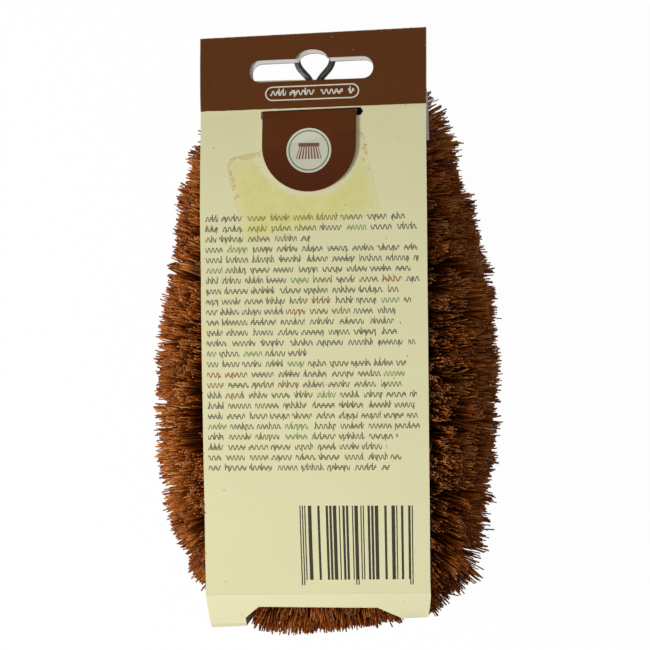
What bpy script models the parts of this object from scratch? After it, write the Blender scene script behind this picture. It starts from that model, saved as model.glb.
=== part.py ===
"""Coir scrub brush in its folded card hanging sleeve.

One galvanised wire is folded into a hairpin with a hanging eye at its bend. Its two
legs are twisted together with coir fibre clamped between them, and the twisted stick
is bent round into an egg-shaped ring. A strip of card wraps the brush lengthwise,
folds over the eye as a header, and closes with a tongue that comes out through a
slot and is held by a clear label.

Units are metres. The part lies on the card's front panel: z = 0 is that panel's
outer face, +y points to the header, and y = 0 is the middle of the ring.
"""

import math
import random

import bmesh
import bpy
from mathutils import Matrix, Vector

# Clearances
SEAT_GAP = 0.0003
PRESS_GAP = 0.0005

# Wire
WIRE_DIAMETER = 0.0019
TWIST_GAP = 0.0005
TWIST_PITCH = 0.016
TWIST_POINTS = 8
EYE_DIAMETER = 0.0119
EYE_POINTS = 20
NECK_FLAT = 0.0024
BINDING_SIDES = 12
BINDING_TURNS = 2.0
BINDING_GAP = 0.0009
BINDING_START = 0.0135
CUT_BACK = 0.0060

# Right half of the ring, from the neck down to the far end, as (x, y)
RING_ROUTE = [
    (0.0034, 0.0662),
    (0.0112, 0.0583),
    (0.0174, 0.0458),
    (0.0214, 0.0290),
    (0.0239, 0.0085),
    (0.0248, -0.0130),
    (0.0241, -0.0312),
    (0.0211, -0.0454),
    (0.0133, -0.0533),
    (0.0, -0.0557),
]

# The neck between the ring's start and the flat under the eye, as shares of the way
# across, of the way up the brush and of the rise
NECK_BEND = [(0.0, 0.69, 0.72), (0.1, 0.42, 0.36), (0.45, 0.31, 0.06)]

# Coir
BRISTLE_REACH = 0.0243
ROOT_REACH = 0.0150
BEND_REACH_SHARE = 0.72
INNER_REACH_SHARE = 0.93
NEAREST_SHARE = 0.99
INNER_BULGE = 3.2
FACING_SHARE = 0.05
BUNDLES_PER_SIDE = 7
BUNDLE_STEPS = 3
BUNDLE_SIDES = 14
BUNDLE_START_X = 0.0048
BORE_GAP = 0.0008
BORE_WALL = 1.3
FREE_SIDE = -0.8
TIP_TAPER = 0.42
LENGTH_SCATTER = 0.0012
LEAN_SCATTER = 0.0006
SEED = 7

# Card sleeve
CARD = 0.00045
SLEEVE_WIDTH = 0.0620
BACK_BOW = 0.0074
BACK_TOP_Y = 0.0706
BACK_BASE_Y = -0.0644
TOP_BULGE = 0.0086
TOP_CURL_RUN = 0.0332
FRONT_CREASE_LEAD = 0.0066
BASE_BULGE = 0.0089
BASE_CURL_RUN = 0.0173
BASE_SHOULDER_Z = 0.0335
BASE_FOOT_Z = 0.0165
HEADER_LENGTH = 0.0207
HEADER_TILT = math.radians(8.0)
FLAP_LENGTH = 0.0300
ROOF_STEPS = 14
CURL_STEPS = 8
FOLD_STEPS = 6

# Cut-outs in the card
HANG_SLOT_WIDTH = 0.0340
HANG_SLOT_HEIGHT = 0.0060
HANG_SLOT_CENTRE = 0.0105
HANG_BUMP_WIDTH = 0.0090
HANG_BUMP_RISE = 0.0027
INNER_SLOT_TRIM = 0.0006
BASE_WINDOW_WIDTH = 0.0430
BASE_WINDOW_DROP = 0.0035
BASE_WINDOW_RISE = 0.0055
BASE_WINDOW_CORNER = 0.0046

# Tongue, its slot and the label
TONGUE_WIDTH = 0.0261
TONGUE_LENGTH = 0.0227
TONGUE_KERF = 0.0004
TONGUE_ROWS = 10
SLOT_CLEARANCE = 0.0029
SLOT_HEIGHT = 0.0018
SLOT_SETBACK = 0.0004
LABEL_WIDTH = 0.0387
LABEL_HEIGHT = 0.0244
LABEL_CORNER = 0.0014
LABEL_THICKNESS = 0.00012
LABEL_CENTRE_X = -0.0038
LABEL_OVERLAP = 0.0019
LABEL_TURN = math.radians(11.0)
LABEL_ROWS = 6

# What follows from the sizes above
WIRE_RADIUS = WIRE_DIAMETER / 2
TWIST_RADIUS = (WIRE_DIAMETER + TWIST_GAP) / 2
TWIST_ENVELOPE = TWIST_RADIUS + WIRE_RADIUS
CORE_Z = CARD + PRESS_GAP + BRISTLE_REACH
FLOOR_Z = CARD
ROOF_Z = CORE_Z + BRISTLE_REACH + PRESS_GAP
ROOF_END_Z = ROOF_Z - BACK_BOW
TOP_END_Y = BACK_TOP_Y + TOP_BULGE
TOP_CURL_Y = TOP_END_Y - TOP_CURL_RUN
FRONT_CREASE_Y = BACK_TOP_Y + FRONT_CREASE_LEAD
BASE_END_Y = BACK_BASE_Y - BASE_BULGE
BASE_CURL_Y = BASE_END_Y + BASE_CURL_RUN
BASE_WINDOW_LOW_Z = BASE_FOOT_Z - BASE_WINDOW_DROP
BASE_WINDOW_HIGH_Z = BASE_SHOULDER_Z + BASE_WINDOW_RISE
ROOF_HALF = (BACK_TOP_Y - BACK_BASE_Y) / 2
ROOF_MIDDLE_Y = (BACK_TOP_Y + BACK_BASE_Y) / 2
ROOF_RADIUS = (ROOF_HALF**2 + BACK_BOW**2) / (2 * BACK_BOW)
FLAP_DEPTH = SEAT_GAP + CARD
WIRE_DEPTH = FLAP_DEPTH + SEAT_GAP + WIRE_RADIUS
FRONT_DEPTH = WIRE_DEPTH + WIRE_RADIUS + SEAT_GAP
FOLD_RADIUS = (FRONT_DEPTH - FLAP_DEPTH) / 2
FOLD_REACH = HEADER_LENGTH - FOLD_RADIUS - CARD
EYE_RADIUS = (EYE_DIAMETER - WIRE_DIAMETER) / 2
EYE_REACH = FOLD_REACH - EYE_RADIUS
TONGUE_HEIGHT = CARD + SEAT_GAP
LABEL_LIFT = TONGUE_HEIGHT + CARD + SEAT_GAP
SLOT_WIDTH = TONGUE_WIDTH + SLOT_CLEARANCE
SLOT_TOP_Y = BACK_TOP_Y - SLOT_SETBACK
SLOT_BASE_Y = SLOT_TOP_Y - SLOT_HEIGHT
RISER_Y = (SLOT_TOP_Y + SLOT_BASE_Y) / 2
LABEL_CENTRE_Y = RISER_Y - TONGUE_LENGTH + LABEL_OVERLAP


def clear_scene():
    """Remove every object, so the model starts from an empty scene."""
    for old in list(bpy.data.objects):
        bpy.data.objects.remove(old, do_unlink=True)


def new_collection(name):
    """Add a collection to the scene."""
    collection = bpy.data.collections.new(name)
    bpy.context.scene.collection.children.link(collection)
    return collection


def material(name, colour, roughness, metallic):
    """One surface of one colour."""
    surface = bpy.data.materials.new(name)
    surface.use_nodes = True
    shader = surface.node_tree.nodes["Principled BSDF"]
    shader.inputs["Base Color"].default_value = (*colour, 1)
    shader.inputs["Roughness"].default_value = roughness
    shader.inputs["Metallic"].default_value = metallic
    surface.diffuse_color = (*colour, 1)
    return surface


def object_from(bm, name, collection, surface=None):
    """Turn a bmesh into an object of the collection."""
    bmesh.ops.recalc_face_normals(bm, faces=bm.faces)
    mesh = bpy.data.meshes.new(name)
    bm.to_mesh(mesh)
    bm.free()
    piece = bpy.data.objects.new(name, mesh)
    collection.objects.link(piece)
    if surface:
        mesh.materials.append(surface)
    return piece


def roof_point(y, height):
    """A (y, z) point at a height above the inner face of the bowed back panel."""
    radius = ROOF_RADIUS + height
    angle = math.asin((y - ROOF_MIDDLE_Y) / radius)
    return y, ROOF_Z - ROOF_RADIUS + radius * math.cos(angle)


def header_point(along, depth):
    """A (y, z) point past the header's crease, at a depth under its inner face."""
    y = BACK_TOP_Y + along * math.cos(HEADER_TILT) - depth * math.sin(HEADER_TILT)
    z = ROOF_END_Z - along * math.sin(HEADER_TILT) - depth * math.cos(HEADER_TILT)
    return y, z


def header_along(y, depth):
    """How far past the crease a point of the header at that y lies."""
    return (y - BACK_TOP_Y + depth * math.sin(HEADER_TILT)) / math.cos(HEADER_TILT)


def curl(start_y, end_y, end_z, steps):
    """Quarter ellipse from the front panel up to an end wall, without its first point."""
    points = []
    for step in range(1, steps + 1):
        angle = math.pi / 2 * step / steps
        y = start_y + (end_y - start_y) * math.sin(angle)
        z = end_z - (end_z - FLOOR_Z) * math.cos(angle)
        points.append((y, z))
    return points


def sleeve_rows():
    """The inner face of the card strip in (y, z), from the back header to the flap's
    root, and the number of the row at the slot's upper edge."""
    rows = [header_point(HEADER_LENGTH, 0), header_point(0, 0)]
    rows.append(roof_point(SLOT_TOP_Y, 0))
    rows.append(roof_point(SLOT_BASE_Y, 0))
    slot_row = len(rows) - 2
    for step in range(1, ROOF_STEPS + 1):
        y = SLOT_BASE_Y + (BACK_BASE_Y - SLOT_BASE_Y) * step / ROOF_STEPS
        rows.append(roof_point(y, 0))
    shoulder_y = BASE_END_Y + CARD
    rows.append((shoulder_y, BASE_SHOULDER_Z))
    base = [(BASE_CURL_Y, FLOOR_Z)] + curl(BASE_CURL_Y, BASE_END_Y, BASE_FOOT_Z, CURL_STEPS)
    rows += reversed(base)
    rows.append((TOP_CURL_Y, FLOOR_Z))
    rows += curl(TOP_CURL_Y, TOP_END_Y, CORE_Z, CURL_STEPS)
    rows.append(header_point(header_along(FRONT_CREASE_Y, FRONT_DEPTH), FRONT_DEPTH))
    for step in range(FOLD_STEPS + 1):
        angle = math.pi * step / FOLD_STEPS
        along = FOLD_REACH + FOLD_RADIUS * math.sin(angle)
        rows.append(header_point(along, WIRE_DEPTH + FOLD_RADIUS * math.cos(angle)))
    rows.append(header_point(CARD * 4, FLAP_DEPTH))
    return rows, slot_row


def flap_end():
    """The free end of the inner flap's shoulders."""
    return header_point(HEADER_LENGTH - FLAP_LENGTH, FLAP_DEPTH)


def room_outline():
    """The inner outline of the closed sleeve, as segments that the brush stays inside."""
    rows = sleeve_rows()[0]
    end = flap_end()
    first = next(i for i, row in enumerate(rows) if row[0] < end[0])
    outline = rows[first:] + [end]
    return list(zip(outline, outline[1:] + outline[:1]))


def fits(y, z, outline):
    """Whether a point lies inside the sleeve with the pressing gap kept."""
    inside = False
    for (ay, az), (by, bz) in outline:
        if (az > z) != (bz > z) and y < ay + (z - az) / (bz - az) * (by - ay):
            inside = not inside
        length = (by - ay) ** 2 + (bz - az) ** 2
        share = ((y - ay) * (by - ay) + (z - az) * (bz - az)) / length if length else 0
        share = min(max(share, 0), 1)
        gap = math.hypot(y - ay - share * (by - ay), z - az - share * (bz - az))
        if gap < PRESS_GAP:
            return False
    return inside


def spline(points, steps):
    """Smooth curve through the points, with that many steps between neighbours."""
    ends = [points[0] * 2 - points[1]] + list(points) + [points[-1] * 2 - points[-2]]
    line = []
    for a, b, c, d in zip(ends, ends[1:], ends[2:], ends[3:]):
        for step in range(steps):
            t = step / steps
            even = (a * 2 - b * 5 + c * 4 - d) * t**2 + (b * 3 - a - c * 3 + d) * t**3
            line.append((b * 2 + (c - a) * t + even) / 2)
    line.append(points[-1].copy())
    return line


class Route:
    """A smooth line with its length, and frames that don't turn about it."""

    def __init__(self, points, side):
        self.points = points
        self.lengths = [0.0]
        for a, b in zip(points, points[1:]):
            self.lengths.append(self.lengths[-1] + (b - a).length)
        self.sides = []
        for i in range(len(points)):
            ahead = points[min(i + 1, len(points) - 1)] - points[max(i - 1, 0)]
            side = (side - ahead * (side.dot(ahead) / ahead.length_squared)).normalized()
            self.sides.append(side.copy())

    @property
    def length(self):
        return self.lengths[-1]

    def at(self, s):
        """Point, direction and side at a length along the line."""
        s = min(max(s, 0), self.length)
        i = 1
        while i < len(self.lengths) - 1 and self.lengths[i] < s:
            i += 1
        share = (s - self.lengths[i - 1]) / (self.lengths[i] - self.lengths[i - 1])
        point = self.points[i - 1].lerp(self.points[i], share)
        after = self.points[min(i + 1, len(self.points) - 1)] - self.points[i - 1]
        before = self.points[i] - self.points[max(i - 2, 0)]
        direction = before.normalized().lerp(after.normalized(), share).normalized()
        side = self.sides[i - 1].lerp(self.sides[i], share)
        side = (side - direction * side.dot(direction)).normalized()
        return point, direction, side


def half_ring():
    """The right half of the ring at the core's height."""
    return [Vector((x, y, CORE_Z)) for x, y in RING_ROUTE]


def ring_route():
    """Smooth ring, from the neck down the right half, and up the left one."""
    right = half_ring()
    left = [Vector((-p.x, p.y, p.z)) for p in reversed(right[:-1])]
    return Route(spline(right + left, 10), Vector((1, 0, 0)))


def core_route():
    """Centre of the twisted stick: down the neck, round the ring and back to the neck."""
    eye_plane = EYE_REACH - EYE_RADIUS - WIRE_RADIUS
    top = header_point(eye_plane, WIRE_DEPTH)
    flat = header_point(eye_plane - NECK_FLAT, WIRE_DEPTH)
    right = half_ring()
    neck = [Vector((0, *top)), Vector((0, *flat))]
    run, rise = flat[0] - right[0].y, flat[1] - CORE_Z
    for across, back, up in NECK_BEND:
        neck.append(Vector((right[0].x * across, right[0].y + run * back, CORE_Z + rise * up)))
    left = [Vector((-p.x, p.y, p.z)) for p in reversed(right[:-1])]
    return Route(spline(neck + right + left, 8), Vector((1, 0, 0)))


def twisted_leg(route, phase):
    """One leg of the hairpin, winding round the stick's centre."""
    points = []
    turns = (route.length - NECK_FLAT) / TWIST_PITCH
    count = round(turns * TWIST_POINTS)
    for i in range(count + 1):
        s = NECK_FLAT + (route.length - NECK_FLAT) * i / count
        centre, direction, side = route.at(s)
        angle = phase + math.tau * (s - NECK_FLAT) / TWIST_PITCH
        across = direction.cross(side)
        points.append(centre + (side * math.cos(angle) + across * math.sin(angle)) * TWIST_RADIUS)
    return points


def eye_points():
    """The hanging eye, from the right leg over the top to the left one, in its plane."""
    low = EYE_REACH - EYE_RADIUS - WIRE_RADIUS
    fall = EYE_REACH - low
    reach = math.hypot(TWIST_RADIUS, fall)
    start = math.acos(EYE_RADIUS / reach) - math.atan2(fall, TWIST_RADIUS)
    flat = [(TWIST_RADIUS, low - NECK_FLAT * 0.5), (TWIST_RADIUS * 1.06, low)]
    sweep = math.pi - 2 * start
    loop = []
    for i in range(EYE_POINTS + 1):
        angle = start + sweep * i / EYE_POINTS
        loop.append((EYE_RADIUS * math.cos(angle), EYE_REACH + EYE_RADIUS * math.sin(angle)))
    back = [(-x, along) for x, along in reversed(flat)]
    return [Vector((x, *header_point(along, WIRE_DEPTH))) for x, along in flat + loop + back]


def binding(route, last):
    """The free end of the wire that binds the neck, from the left end of the ring."""
    radius = TWIST_ENVELOPE + BINDING_GAP + WIRE_RADIUS
    lead = WIRE_DIAMETER + BINDING_GAP
    wraps = []
    count = round(BINDING_TURNS * BINDING_SIDES)
    for i in range(count + 1):
        turn = BINDING_TURNS * i / count
        centre, direction, side = route.at(BINDING_START - lead * turn)
        angle = math.pi + math.tau * turn
        across = direction.cross(side)
        wraps.append(centre + (side * math.cos(angle) + across * math.sin(angle)) * radius)
    first = wraps[0]
    middle = Vector((min(first.x, last.x), last.y * 0.6 + first.y * 0.4, first.z * 0.6 + last.z * 0.4))
    return spline([last, middle, first], 3)[1:-1] + wraps


def wire_points():
    """The whole wire: binding, leg, eye, and the leg that ends inside the coir."""
    route = core_route()
    leg_a = twisted_leg(route, 0)
    leg_b = twisted_leg(route, math.pi)
    points = list(reversed(leg_a)) + eye_points() + leg_b
    if points[0].x < points[-1].x:
        points.reverse()
    short = round(CUT_BACK / TWIST_PITCH * TWIST_POINTS)
    return points[short:] + binding(route, points[-1])


def least_gap(points):
    """Smallest clear distance from the wire to itself, away from its own run."""
    lengths = [0.0]
    for a, b in zip(points, points[1:]):
        lengths.append(lengths[-1] + (b - a).length)
    gap = math.inf
    for i, a in enumerate(points):
        for j in range(i + 1, len(points)):
            if lengths[j] - lengths[i] > WIRE_DIAMETER * 3:
                gap = min(gap, (points[j] - a).length - WIRE_DIAMETER)
    return gap


def make_wire(collection, surface):
    """Sweep the wire's section along its one unbroken line."""
    points = wire_points()
    print(f"core_wire: least gap to itself {least_gap(points) * 1000:.2f} mm")
    curve = bpy.data.curves.new("core_wire", "CURVE")
    curve.dimensions = "3D"
    curve.bevel_depth = WIRE_RADIUS
    curve.bevel_resolution = 1
    curve.use_fill_caps = True
    line = curve.splines.new("POLY")
    line.points.add(len(points) - 1)
    for slot, point in zip(line.points, points):
        slot.co = (*point, 1)
    swept = bpy.data.objects.new("core_wire_line", curve)
    collection.objects.link(swept)
    bpy.context.view_layer.update()
    graph = bpy.context.evaluated_depsgraph_get()
    mesh = bpy.data.meshes.new_from_object(swept.evaluated_get(graph))
    bm = bmesh.new()
    bm.from_mesh(mesh)
    bmesh.ops.remove_doubles(bm, verts=bm.verts, dist=0.00001)
    bpy.data.meshes.remove(mesh)
    wire = object_from(bm, "core_wire", collection, surface)
    wire.matrix_world = swept.matrix_world
    bpy.data.objects.remove(swept, do_unlink=True)
    wire.data.materials.clear()
    wire.data.materials.append(surface)
    wire.data.shade_smooth()
    return wire


def section(point, outward, inner_reach, reach, outline):
    """One closed loop of the root body, pressed in where the sleeve is narrow."""
    loop = []
    for i in range(BUNDLE_SIDES):
        angle = math.tau * (i + 0.5) / BUNDLE_SIDES
        across, up = math.cos(angle), math.sin(angle)
        if across < 0:
            power = 2 / INNER_BULGE
            across = -(abs(across) ** power) * inner_reach
            up = math.copysign(abs(up) ** power, up) * reach
        else:
            across, up = across * reach, up * reach
        ray = outward * across + Vector((0, 0, up))
        loop.append(point + ray * pressed(point, [ray], outline))
    return loop


def pressed(point, rays, outline):
    """The largest share of some rays that keeps all their ends inside the sleeve."""
    low, high = 0.0, 1.0
    if all(fits(point.y + ray.y, point.z + ray.z, outline) for ray in rays):
        return high
    for _ in range(12):
        middle = (low + high) / 2
        if all(fits(point.y + ray.y * middle, point.z + ray.z * middle, outline) for ray in rays):
            low = middle
        else:
            high = middle
    return low


def bend_radius(route, s):
    """Radius of the ring's bend at a length along it."""
    span = 0.004
    before = route.at(max(s - span, 0))[1]
    after = route.at(min(s + span, route.length))[1]
    turn = before.angle(after)
    reach = min(s + span, route.length) - max(s - span, 0)
    return reach / max(turn, 0.001)


def inner_room(route, point, outward):
    """How far in the coir reaches before it comes nearer to another run of its side."""
    low, high = 0.0, BRISTLE_REACH / INNER_REACH_SHARE
    near = [p for p, s in zip(route.points, route.lengths) if s <= route.length / 2]
    for _ in range(12):
        reach = (low + high) / 2
        end = point - outward * reach
        if min((end - p).length for p in near) > reach * NEAREST_SHARE:
            low = reach
        else:
            high = reach
    return min(low * INNER_REACH_SHARE, BRISTLE_REACH)


def bundle(name, number, route, start, end, mirrored, collection, surface, outline):
    """One run of coir round the stick: a packed root body with blunt strands on it."""
    rng = random.Random(SEED * 100 + number)
    half_gap = SEAT_GAP / 2
    bore = (TWIST_ENVELOPE + BORE_GAP) / math.cos(math.pi / BUNDLE_SIDES)
    bm = bmesh.new()
    centres, inner_reaches, outer, inner = [], [], [], []
    for step in range(BUNDLE_STEPS + 1):
        s = start + (end - start) * step / BUNDLE_STEPS
        point, direction, _ = route.at(s)
        outward = Vector((-direction.y, direction.x, 0))
        if step == 0:
            point = point + direction * half_gap
        if step == BUNDLE_STEPS:
            point = point - direction * half_gap
        room = (point.x - half_gap) / outward.x if outward.x > FACING_SHARE else math.inf
        bend_room = bend_radius(route, s) * BEND_REACH_SHARE
        inner_reach = min(room, bend_room, inner_room(route, point, outward))
        inner_reach = max(inner_reach, bore * BORE_WALL)
        inner_reaches.append(inner_reach)
        loop = section(point, outward, inner_reach, ROOT_REACH, outline)
        loop = [Vector((max(p.x, half_gap), p.y, p.z)) for p in loop]
        centres.append(point)
        outer.append([bm.verts.new(p) for p in loop])
        ring = []
        for i in range(BUNDLE_SIDES):
            angle = math.tau * (i + 0.5) / BUNDLE_SIDES
            ring.append(point + (outward * math.cos(angle) + Vector((0, 0, math.sin(angle)))) * bore)
        inner.append([bm.verts.new(p) for p in ring])
    chosen = []
    for step in range(BUNDLE_STEPS):
        for i in range(BUNDLE_SIDES):
            j = (i + 1) % BUNDLE_SIDES
            quad = (outer[step][i], outer[step][j], outer[step + 1][j], outer[step + 1][i])
            face = bm.faces.new(quad)
            bm.faces.new((inner[step][j], inner[step][i], inner[step + 1][i], inner[step + 1][j]))
            angle = math.tau * (i + 1) / BUNDLE_SIDES
            if math.cos(angle) > FREE_SIDE:
                middle = (centres[step] + centres[step + 1]) / 2
                inner_reach = min(inner_reaches[step : step + 2])
                chosen.append((face, middle, tip_reach(angle, inner_reach)))
    for i in range(BUNDLE_SIDES):
        j = (i + 1) % BUNDLE_SIDES
        bm.faces.new((outer[0][j], outer[0][i], inner[0][i], inner[0][j]))
        bm.faces.new((outer[-1][i], outer[-1][j], inner[-1][j], inner[-1][i]))
    bmesh.ops.recalc_face_normals(bm, faces=bm.faces)
    for face, middle, reach in chosen:
        grow_strand(bm, face, middle, reach, rng, outline)
    if mirrored:
        bmesh.ops.scale(bm, vec=Vector((-1, 1, 1)), verts=bm.verts)
    return object_from(bm, name, collection, surface)


def tip_reach(angle, inner_reach):
    """How far a strand's tip lies from the stick: round outside, fuller inside."""
    across, up = math.cos(angle), math.sin(angle)
    if across > 0:
        return BRISTLE_REACH
    power = INNER_BULGE
    share = (-across / inner_reach) ** power + (abs(up) / BRISTLE_REACH) ** power
    return share ** (-1 / power)


def grow_strand(bm, face, middle, reach, rng, outline):
    """Draw one quad of the root body out to a blunt four-sided strand."""
    centre = face.calc_center_median()
    ray = (centre - middle).normalized()
    tip = bmesh.ops.extrude_discrete_faces(bm, faces=[face])["faces"][0]
    length = reach - rng.random() * LENGTH_SCATTER
    lean = Vector([rng.uniform(-1, 1) * LEAN_SCATTER for _ in range(3)])
    lean -= ray * lean.dot(ray)
    corners = [(v, (v.co - centre) * TIP_TAPER) for v in tip.verts]
    ends = [ray * length + lean + corner for _, corner in corners]
    share = pressed(middle, ends, outline)
    for (vert, _), end in zip(corners, ends):
        goal = middle + end * share
        vert.co = Vector((max(goal.x, SEAT_GAP / 2), goal.y, goal.z))


def make_bundles(collection):
    """Seven bundles down each side of the ring, mirrored about the middle plane."""
    route = ring_route()
    outline = room_outline()
    start = 0.0
    while route.at(start)[0].x < BUNDLE_START_X:
        start += 0.0002
    run = (route.length / 2 - start) / BUNDLES_PER_SIDE
    pieces = []
    for k in range(BUNDLES_PER_SIDE):
        for mirrored in (False, True):
            number = k + 1 + (BUNDLES_PER_SIDE if mirrored else 0)
            name = f"coir_bundle_{number:02d}"
            tone = 0.9 + 0.2 * ((number * 5) % 7) / 7
            colour = (0.17 * tone, 0.058 * tone, 0.014 * tone)
            surface = material(name, colour, 0.8, 0)
            low = start + run * k
            high = start + run * (k + 1)
            args = (route, low, high, mirrored, collection, surface, outline)
            pieces.append(bundle(name, number, *args))
    return pieces


def solidify(piece, thickness):
    """Give an open sheet its thickness, outwards from the face it was drawn on."""
    modifier = piece.modifiers.new("thickness", "SOLIDIFY")
    modifier.thickness = thickness
    modifier.offset = 1
    modifier.use_even_offset = True
    return modifier


def sheet(bm, rows, columns, skip=None):
    """Quads between rows in (y, z) and columns in x, leaving out those that skip names."""
    grid = [[bm.verts.new((x, y, z)) for x in columns] for y, z in rows]
    for r in range(len(rows) - 1):
        for c in range(len(columns) - 1):
            if skip and skip(r, c):
                continue
            bm.faces.new((grid[r][c], grid[r + 1][c], grid[r + 1][c + 1], grid[r][c + 1]))
    return grid


def cut(piece, cutter):
    """Take a cutter out of a piece."""
    modifier = piece.modifiers.new(cutter.name, "BOOLEAN")
    modifier.operation = "DIFFERENCE"
    modifier.solver = "EXACT"
    modifier.object = cutter


def guide(bm, name, collection, matrix=None):
    """Make a cutter that is drawn as wire and left out of renders."""
    if matrix:
        bmesh.ops.transform(bm, matrix=matrix, verts=bm.verts)
    cutter = object_from(bm, name, collection)
    cutter.hide_render = True
    cutter.display_type = "WIRE"
    return cutter


def rounded_block(width, height, low, high, corner, steps, axis):
    """A block along one axis, whose edges along that axis are rounded."""
    bm = bmesh.new()
    bmesh.ops.create_cube(bm, size=1)
    size = (width, height, high - low)
    bmesh.ops.scale(bm, vec=Vector(size), verts=bm.verts)
    bmesh.ops.translate(bm, vec=Vector((0, 0, (low + high) / 2)), verts=bm.verts)
    upright = [e for e in bm.edges if abs(e.verts[0].co.z - e.verts[1].co.z) > 0.5 * size[2]]
    bmesh.ops.bevel(bm, geom=upright, offset=corner, segments=steps, affect="EDGES", profile=0.5)
    if axis == "Y":
        bmesh.ops.rotate(bm, matrix=Matrix.Rotation(math.pi / 2, 3, "X"), verts=bm.verts)
    return bm


def header_frame(along):
    """Matrix that lays a cutter drawn about the origin onto the header."""
    y, z = header_point(along, 0)
    return Matrix.Translation((0, y, z)) @ Matrix.Rotation(-HEADER_TILT, 4, "X")


def hang_cutters(collection):
    """Cutters for the hanging slot: full size in the back layer, trimmed inside."""
    chord = HANG_BUMP_WIDTH / 2
    bump_radius = (chord**2 + HANG_BUMP_RISE**2) / (2 * HANG_BUMP_RISE)
    split = SEAT_GAP / 2
    reach = FRONT_DEPTH * 2
    cutters = []
    for layer, trim, low, high in (
        ("back", 0, -split, reach),
        ("inner", INNER_SLOT_TRIM, -reach, -split * 0.9),
    ):
        width = HANG_SLOT_WIDTH - trim
        height = HANG_SLOT_HEIGHT - trim
        place = header_frame(HANG_SLOT_CENTRE - trim / 2) @ Matrix.Translation((trim / 2, 0, 0))
        bar = rounded_block(width, height, low, high, height * 0.49, 5, "Z")
        cutters.append(guide(bar, f"hang_slot_{layer}", collection, place))
        bm = bmesh.new()
        bmesh.ops.create_cone(
            bm,
            cap_ends=True,
            segments=24,
            radius1=bump_radius,
            radius2=bump_radius,
            depth=high - low,
        )
        lift = Vector((0, height / 2 + HANG_BUMP_RISE - bump_radius, (low + high) / 2))
        bmesh.ops.translate(bm, vec=lift, verts=bm.verts)
        trim_low_side(bm, -height / 2 + 0.0002)
        cutters.append(guide(bm, f"hang_bump_{layer}", collection, place))
    return cutters


def trim_low_side(bm, low_y):
    """Cut a bump cutter off level, so it stays inside the bar of the slot."""
    geom = bm.verts[:] + bm.edges[:] + bm.faces[:]
    bmesh.ops.bisect_plane(
        bm, geom=geom, plane_co=(0, low_y, 0), plane_no=(0, -1, 0), clear_outer=True
    )
    bmesh.ops.holes_fill(bm, edges=[e for e in bm.edges if e.is_boundary])


def window_cutter(collection):
    """Octagonal window in the base, where the bristles show."""
    height = BASE_WINDOW_HIGH_Z - BASE_WINDOW_LOW_Z
    deep = TOP_CURL_Y
    bm = rounded_block(BASE_WINDOW_WIDTH, height, 0, deep, BASE_WINDOW_CORNER, 1, "Y")
    middle = (BASE_WINDOW_HIGH_Z + BASE_WINDOW_LOW_Z) / 2
    matrix = Matrix.Translation((0, BACK_BASE_Y + CARD, middle))
    return guide(bm, "base_window", collection, matrix)


def make_sleeve(collection, cutters, surface):
    """The die-cut strip: header, back panel, base, front panel, header, inner flap."""
    rows, slot_row = sleeve_rows()
    half = SLEEVE_WIDTH / 2
    slot = SLOT_WIDTH / 2
    tongue = TONGUE_WIDTH / 2
    kerf = tongue + TONGUE_KERF
    columns = [-half, -slot, -kerf, -tongue, tongue, kerf, slot, half]
    bm = bmesh.new()
    grid = sheet(bm, rows, columns, lambda r, c: r == slot_row and 1 <= c <= 5)
    shoulder = [bm.verts.new((x, *flap_end())) for x in columns]
    for c in (0, 1, 5, 6):
        last = grid[-1]
        bm.faces.new((last[c], shoulder[c], shoulder[c + 1], last[c + 1]))
    bend = header_along(RISER_Y, 0) - CARD / 2
    riser = [
        header_point(bend + CARD, FLAP_DEPTH),
        header_point(bend, FLAP_DEPTH - CARD),
        header_point(bend, -CARD),
    ]
    previous = (grid[-1][3], grid[-1][4])
    for y, z in riser:
        current = (bm.verts.new((-tongue, y, z)), bm.verts.new((tongue, y, z)))
        bm.faces.new((previous[0], current[0], current[1], previous[1]))
        previous = current
    loose = [v for v in bm.verts if not v.link_faces]
    bmesh.ops.delete(bm, geom=loose, context="VERTS")
    piece = object_from(bm, "card_sleeve", collection, surface)
    solidify(piece, CARD)
    for cutter in hang_cutters(cutters) + [window_cutter(cutters)]:
        cut(piece, cutter)
    return piece


def hinge_point():
    """Axis of the tongue: the middle of its thickness, over the riser in the slot."""
    return Vector((0, *header_point(header_along(RISER_Y, 0), -CARD - SEAT_GAP - CARD / 2)))


def make_tongue(collection, surface):
    """The tuck tongue: a card strip with a round end, following the panel's bow."""
    axis = hinge_point()
    straight = TONGUE_LENGTH - TONGUE_WIDTH / 2
    bm = bmesh.new()
    previous = None
    for row in range(TONGUE_ROWS + 1):
        if row == 0:
            along, half = 0.0, TONGUE_WIDTH / 2
        else:
            angle = math.radians(84) * (row - 1) / (TONGUE_ROWS - 1)
            along = straight + TONGUE_WIDTH / 2 * math.sin(angle)
            half = TONGUE_WIDTH / 2 * math.cos(angle)
        y, z = roof_point(axis.y - along, TONGUE_HEIGHT)
        if row == 0:
            z = axis.z - CARD / 2
        current = (bm.verts.new((-half, y, z)), bm.verts.new((half, y, z)))
        if previous:
            bm.faces.new((previous[0], current[0], current[1], previous[1]))
        previous = current
    piece = object_from(bm, "tuck_tongue", collection, surface)
    hang_on_axis(piece, axis)
    solidify(piece, CARD)
    return piece


def hang_on_axis(piece, axis):
    """Put a piece's origin on the tongue's hinge, with its shape where it was."""
    piece.data.transform(Matrix.Translation(-axis))
    piece.location = axis


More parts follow.
